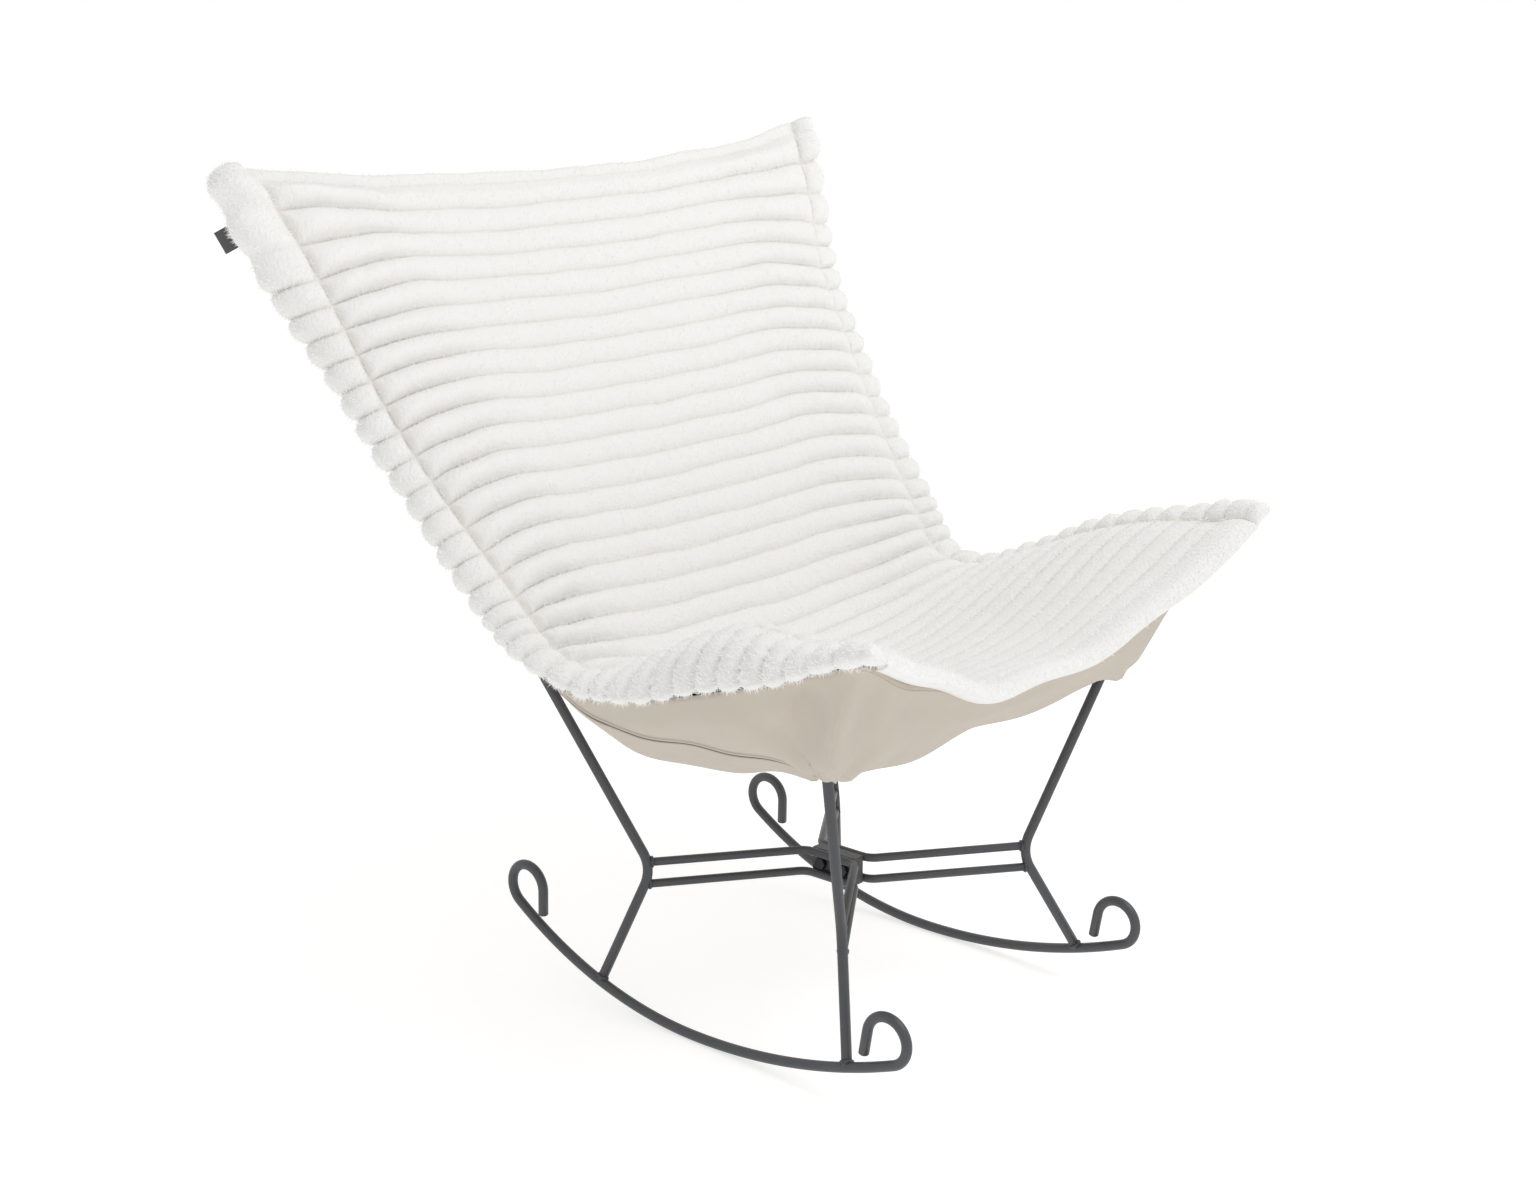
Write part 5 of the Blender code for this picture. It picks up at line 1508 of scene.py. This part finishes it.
run = np.linspace(SEAM_START, MOUTH_PLACE - SEAM_END_GAP, SEAM_STEPS)
left_to_run = (MOUTH_PLACE - run) / (MOUTH_PLACE - SEAM_START)
drift = MOUTH_ACROSS + (SEAM_TOP_ACROSS - MOUTH_ACROSS) * left_to_run ** SEAM_POWER
for side_name, side in SIDES.items():
    piping(f"seam_zip_and_shade_{side_name}", side * drift[:-ZIP_SHORTER], run[:-ZIP_SHORTER], ZIP_CORD, ZIP_AND_SHADE_CLOTH,
           "grey_tag_cloth")
    piping(f"seam_cord_outer_{side_name}", side * (drift + SEAM_PAIR / 2), run, SEAM_CORD)
    piping(f"seam_cord_inner_{side_name}", side * (drift - SEAM_PAIR / 2), run, SEAM_CORD)
hem_across = np.linspace(-HEM_REACH, HEM_REACH, HEM_STEPS)
piping("front_hem_cord", hem_across, np.full_like(hem_across, HEM_PLACE), HEM_CORD)
print("seams end at", round(float(run[-1]), 3), "along")

# %% [markdown]
# Pockets for the rods
#
# The rods hold the sling up by four pockets. In front only the hemmed mouth of each shows, a short flared
# collar where the rod goes in. Behind, a flat pocket is sewn over the tip of each rear rod. Both are cloth
# rolled round an axis, so both are grids of points around it. A tapered tube would do, but a grid also knows
# its place in the cloth, for the weave.

# %% Front collars and rear pockets
COLLAR_RINGS = ((-0.006, 0.0078), (-0.004, 0.0086), (0.002, 0.0100), (0.012, 0.0150), (0.024, 0.0200))
COLLAR_SIDES, COLLAR_THICKNESS, COLLAR_UNROLLED = 24, 0.0012, 0.012
COLLAR_FACING = np.array((0.0, -1.0, 0.0))
REAR_POCKET_LENGTH, REAR_POCKET_MOUTH, REAR_POCKET_CLOTH = 0.130, 0.020, 0.0010
REAR_POCKET_ROWS, REAR_POCKET_SIDES = 20, 32
REAR_POCKET_OVER, REAR_POCKET_BODY, REAR_POCKET_FLAT, REAR_POCKET_SQUEEZE = 0.0140, 0.0092, 0.0006, 1.5
CLOSING_START, CLOSING_LENGTH = 0.88, 0.12


def front_collar(side):
    """The hemmed mouth of a front pocket, where the rod goes in, and its place in the cloth."""
    mirror = np.array((side, 1.0, 1.0))
    axis = unit(FRONT_LEAN * mirror)
    angles = np.linspace(0, 2 * math.pi, COLLAR_SIDES + 1)
    distance, radius = np.array(COLLAR_RINGS).T[..., None]
    ring = circle_points(angles, *axes_along(axis, COLLAR_FACING))
    points = FRONT_MOUTH * mirror + axis * distance[..., None] + ring * radius[..., None]
    return points, flat_place(angles * COLLAR_UNROLLED, distance)


def rear_sleeve(side):
    """A pocket behind a top corner of the canvas, over a rear rod's tip, and its place in the cloth."""
    axis = unit(REAR_TIP - REAR_KNEE - TO_WORLD)
    sideways, outward = axes_along(axis, -REAR_NORMAL)
    angles = np.linspace(0, 2 * math.pi, REAR_POCKET_SIDES + 1)
    share = np.linspace(0, 1, REAR_POCKET_ROWS)[:, None]
    closing = np.sqrt(np.maximum(0, 1 - np.maximum(0, (share - CLOSING_START) / CLOSING_LENGTH) ** 2))
    squeezed = np.sign(np.sin(angles)) * np.abs(np.sin(angles)) ** REAR_POCKET_SQUEEZE
    flat = squeezed * (REAR_POCKET_BODY * closing + REAR_POCKET_FLAT)
    spread = np.cos(angles) * (REAR_POCKET_MOUTH + (REAR_POCKET_TOP - REAR_POCKET_MOUTH) * share)
    points = REAR_TIP + axis * (REAR_POCKET_OVER - REAR_POCKET_LENGTH * (1 - share))[..., None]
    points = points + spread[..., None] * sideways + flat[..., None] * outward
    return points * np.array((side, 1.0, 1.0)), flat_place(spread, share * REAR_POCKET_LENGTH)


for shape, label, node, thickness in ((front_collar, "front_collar", "front_pocket", COLLAR_THICKNESS),
                                      (rear_sleeve, "rear_sleeve", "rear_pocket", REAR_POCKET_CLOTH)):
    for side_name, side in SIDES.items():
        pocket_mesh = cloth_mesh(label, *shape(side), thickness, CANVAS)
        pocket = place_piece(f"{label}_{side_name}", pocket_mesh, "beige_canvas", f"{node}_{side_name}")

# %% [markdown]
# Tag
#
# A small folded tape sticks out of the border near the top of the back. It is a strip of woven tape folded
# once, with both ends in the seam. A thin block would look alike from afar, but it is modelled as what it is:
# out along one face, round the fold and back. It stays blank.

# %% Blank tag
TAG_WIDTH, TAG_LENGTH, TAG_PLACE, TAG_HIDDEN, TAG_RISE = 0.019, 0.026, 0.052, 0.010, 0.006
TAG_TAPE, TAG_FOLD, TAG_CURVE = 0.0005, 0.0006, 0.002
TAG_STEPS, TAG_TURN_STEPS, TAG_COLUMNS = 12, 7, 9


def tag_points():
    """The folded tape as a grid of points, each point's place in the tape, and the tape's length."""
    edge = draped(-1.0, TAG_PLACE)
    _, down, normal = draped_axes(-1.0, TAG_PLACE)
    outward = unit(np.cross(normal, down))
    outward = -outward if outward[0] > 0 else outward
    normal = np.cross(down, outward)
    out = np.linspace(-TAG_HIDDEN, TAG_WIDTH - TAG_FOLD, TAG_STEPS)
    turn = np.linspace(-math.pi / 2, math.pi / 2, TAG_TURN_STEPS)[1:-1]
    reach = np.concatenate([out, TAG_WIDTH - TAG_FOLD + TAG_FOLD * np.cos(turn), out[::-1]])
    face = np.full(TAG_STEPS, TAG_FOLD)
    height = np.concatenate([-face, TAG_FOLD * np.sin(turn), face])
    height = height + TAG_CURVE * (reach / TAG_WIDTH) ** 2
    length = np.linspace(-TAG_LENGTH / 2, TAG_LENGTH / 2, TAG_COLUMNS)
    points = (edge + reach[:, None, None] * outward + height[:, None, None] * normal
              + length[None, :, None] * down + TAG_RISE * normal)
    tape = np.concatenate([[0], np.cumsum(np.hypot(np.diff(reach), np.diff(height)))])
    return points, flat_place(length[None, :], tape[:, None]), float(tape[-1])


tag_grid, tag_place, tag_run = tag_points()
tag_mesh = cloth_mesh("side_tag", tag_grid, tag_place, TAG_TAPE, TAG_CLOTH)
tag = place_piece("side_tag", tag_mesh, "grey_tag_cloth", "blank_tag")
print("tag tape", round(tag_run, 4), "m")
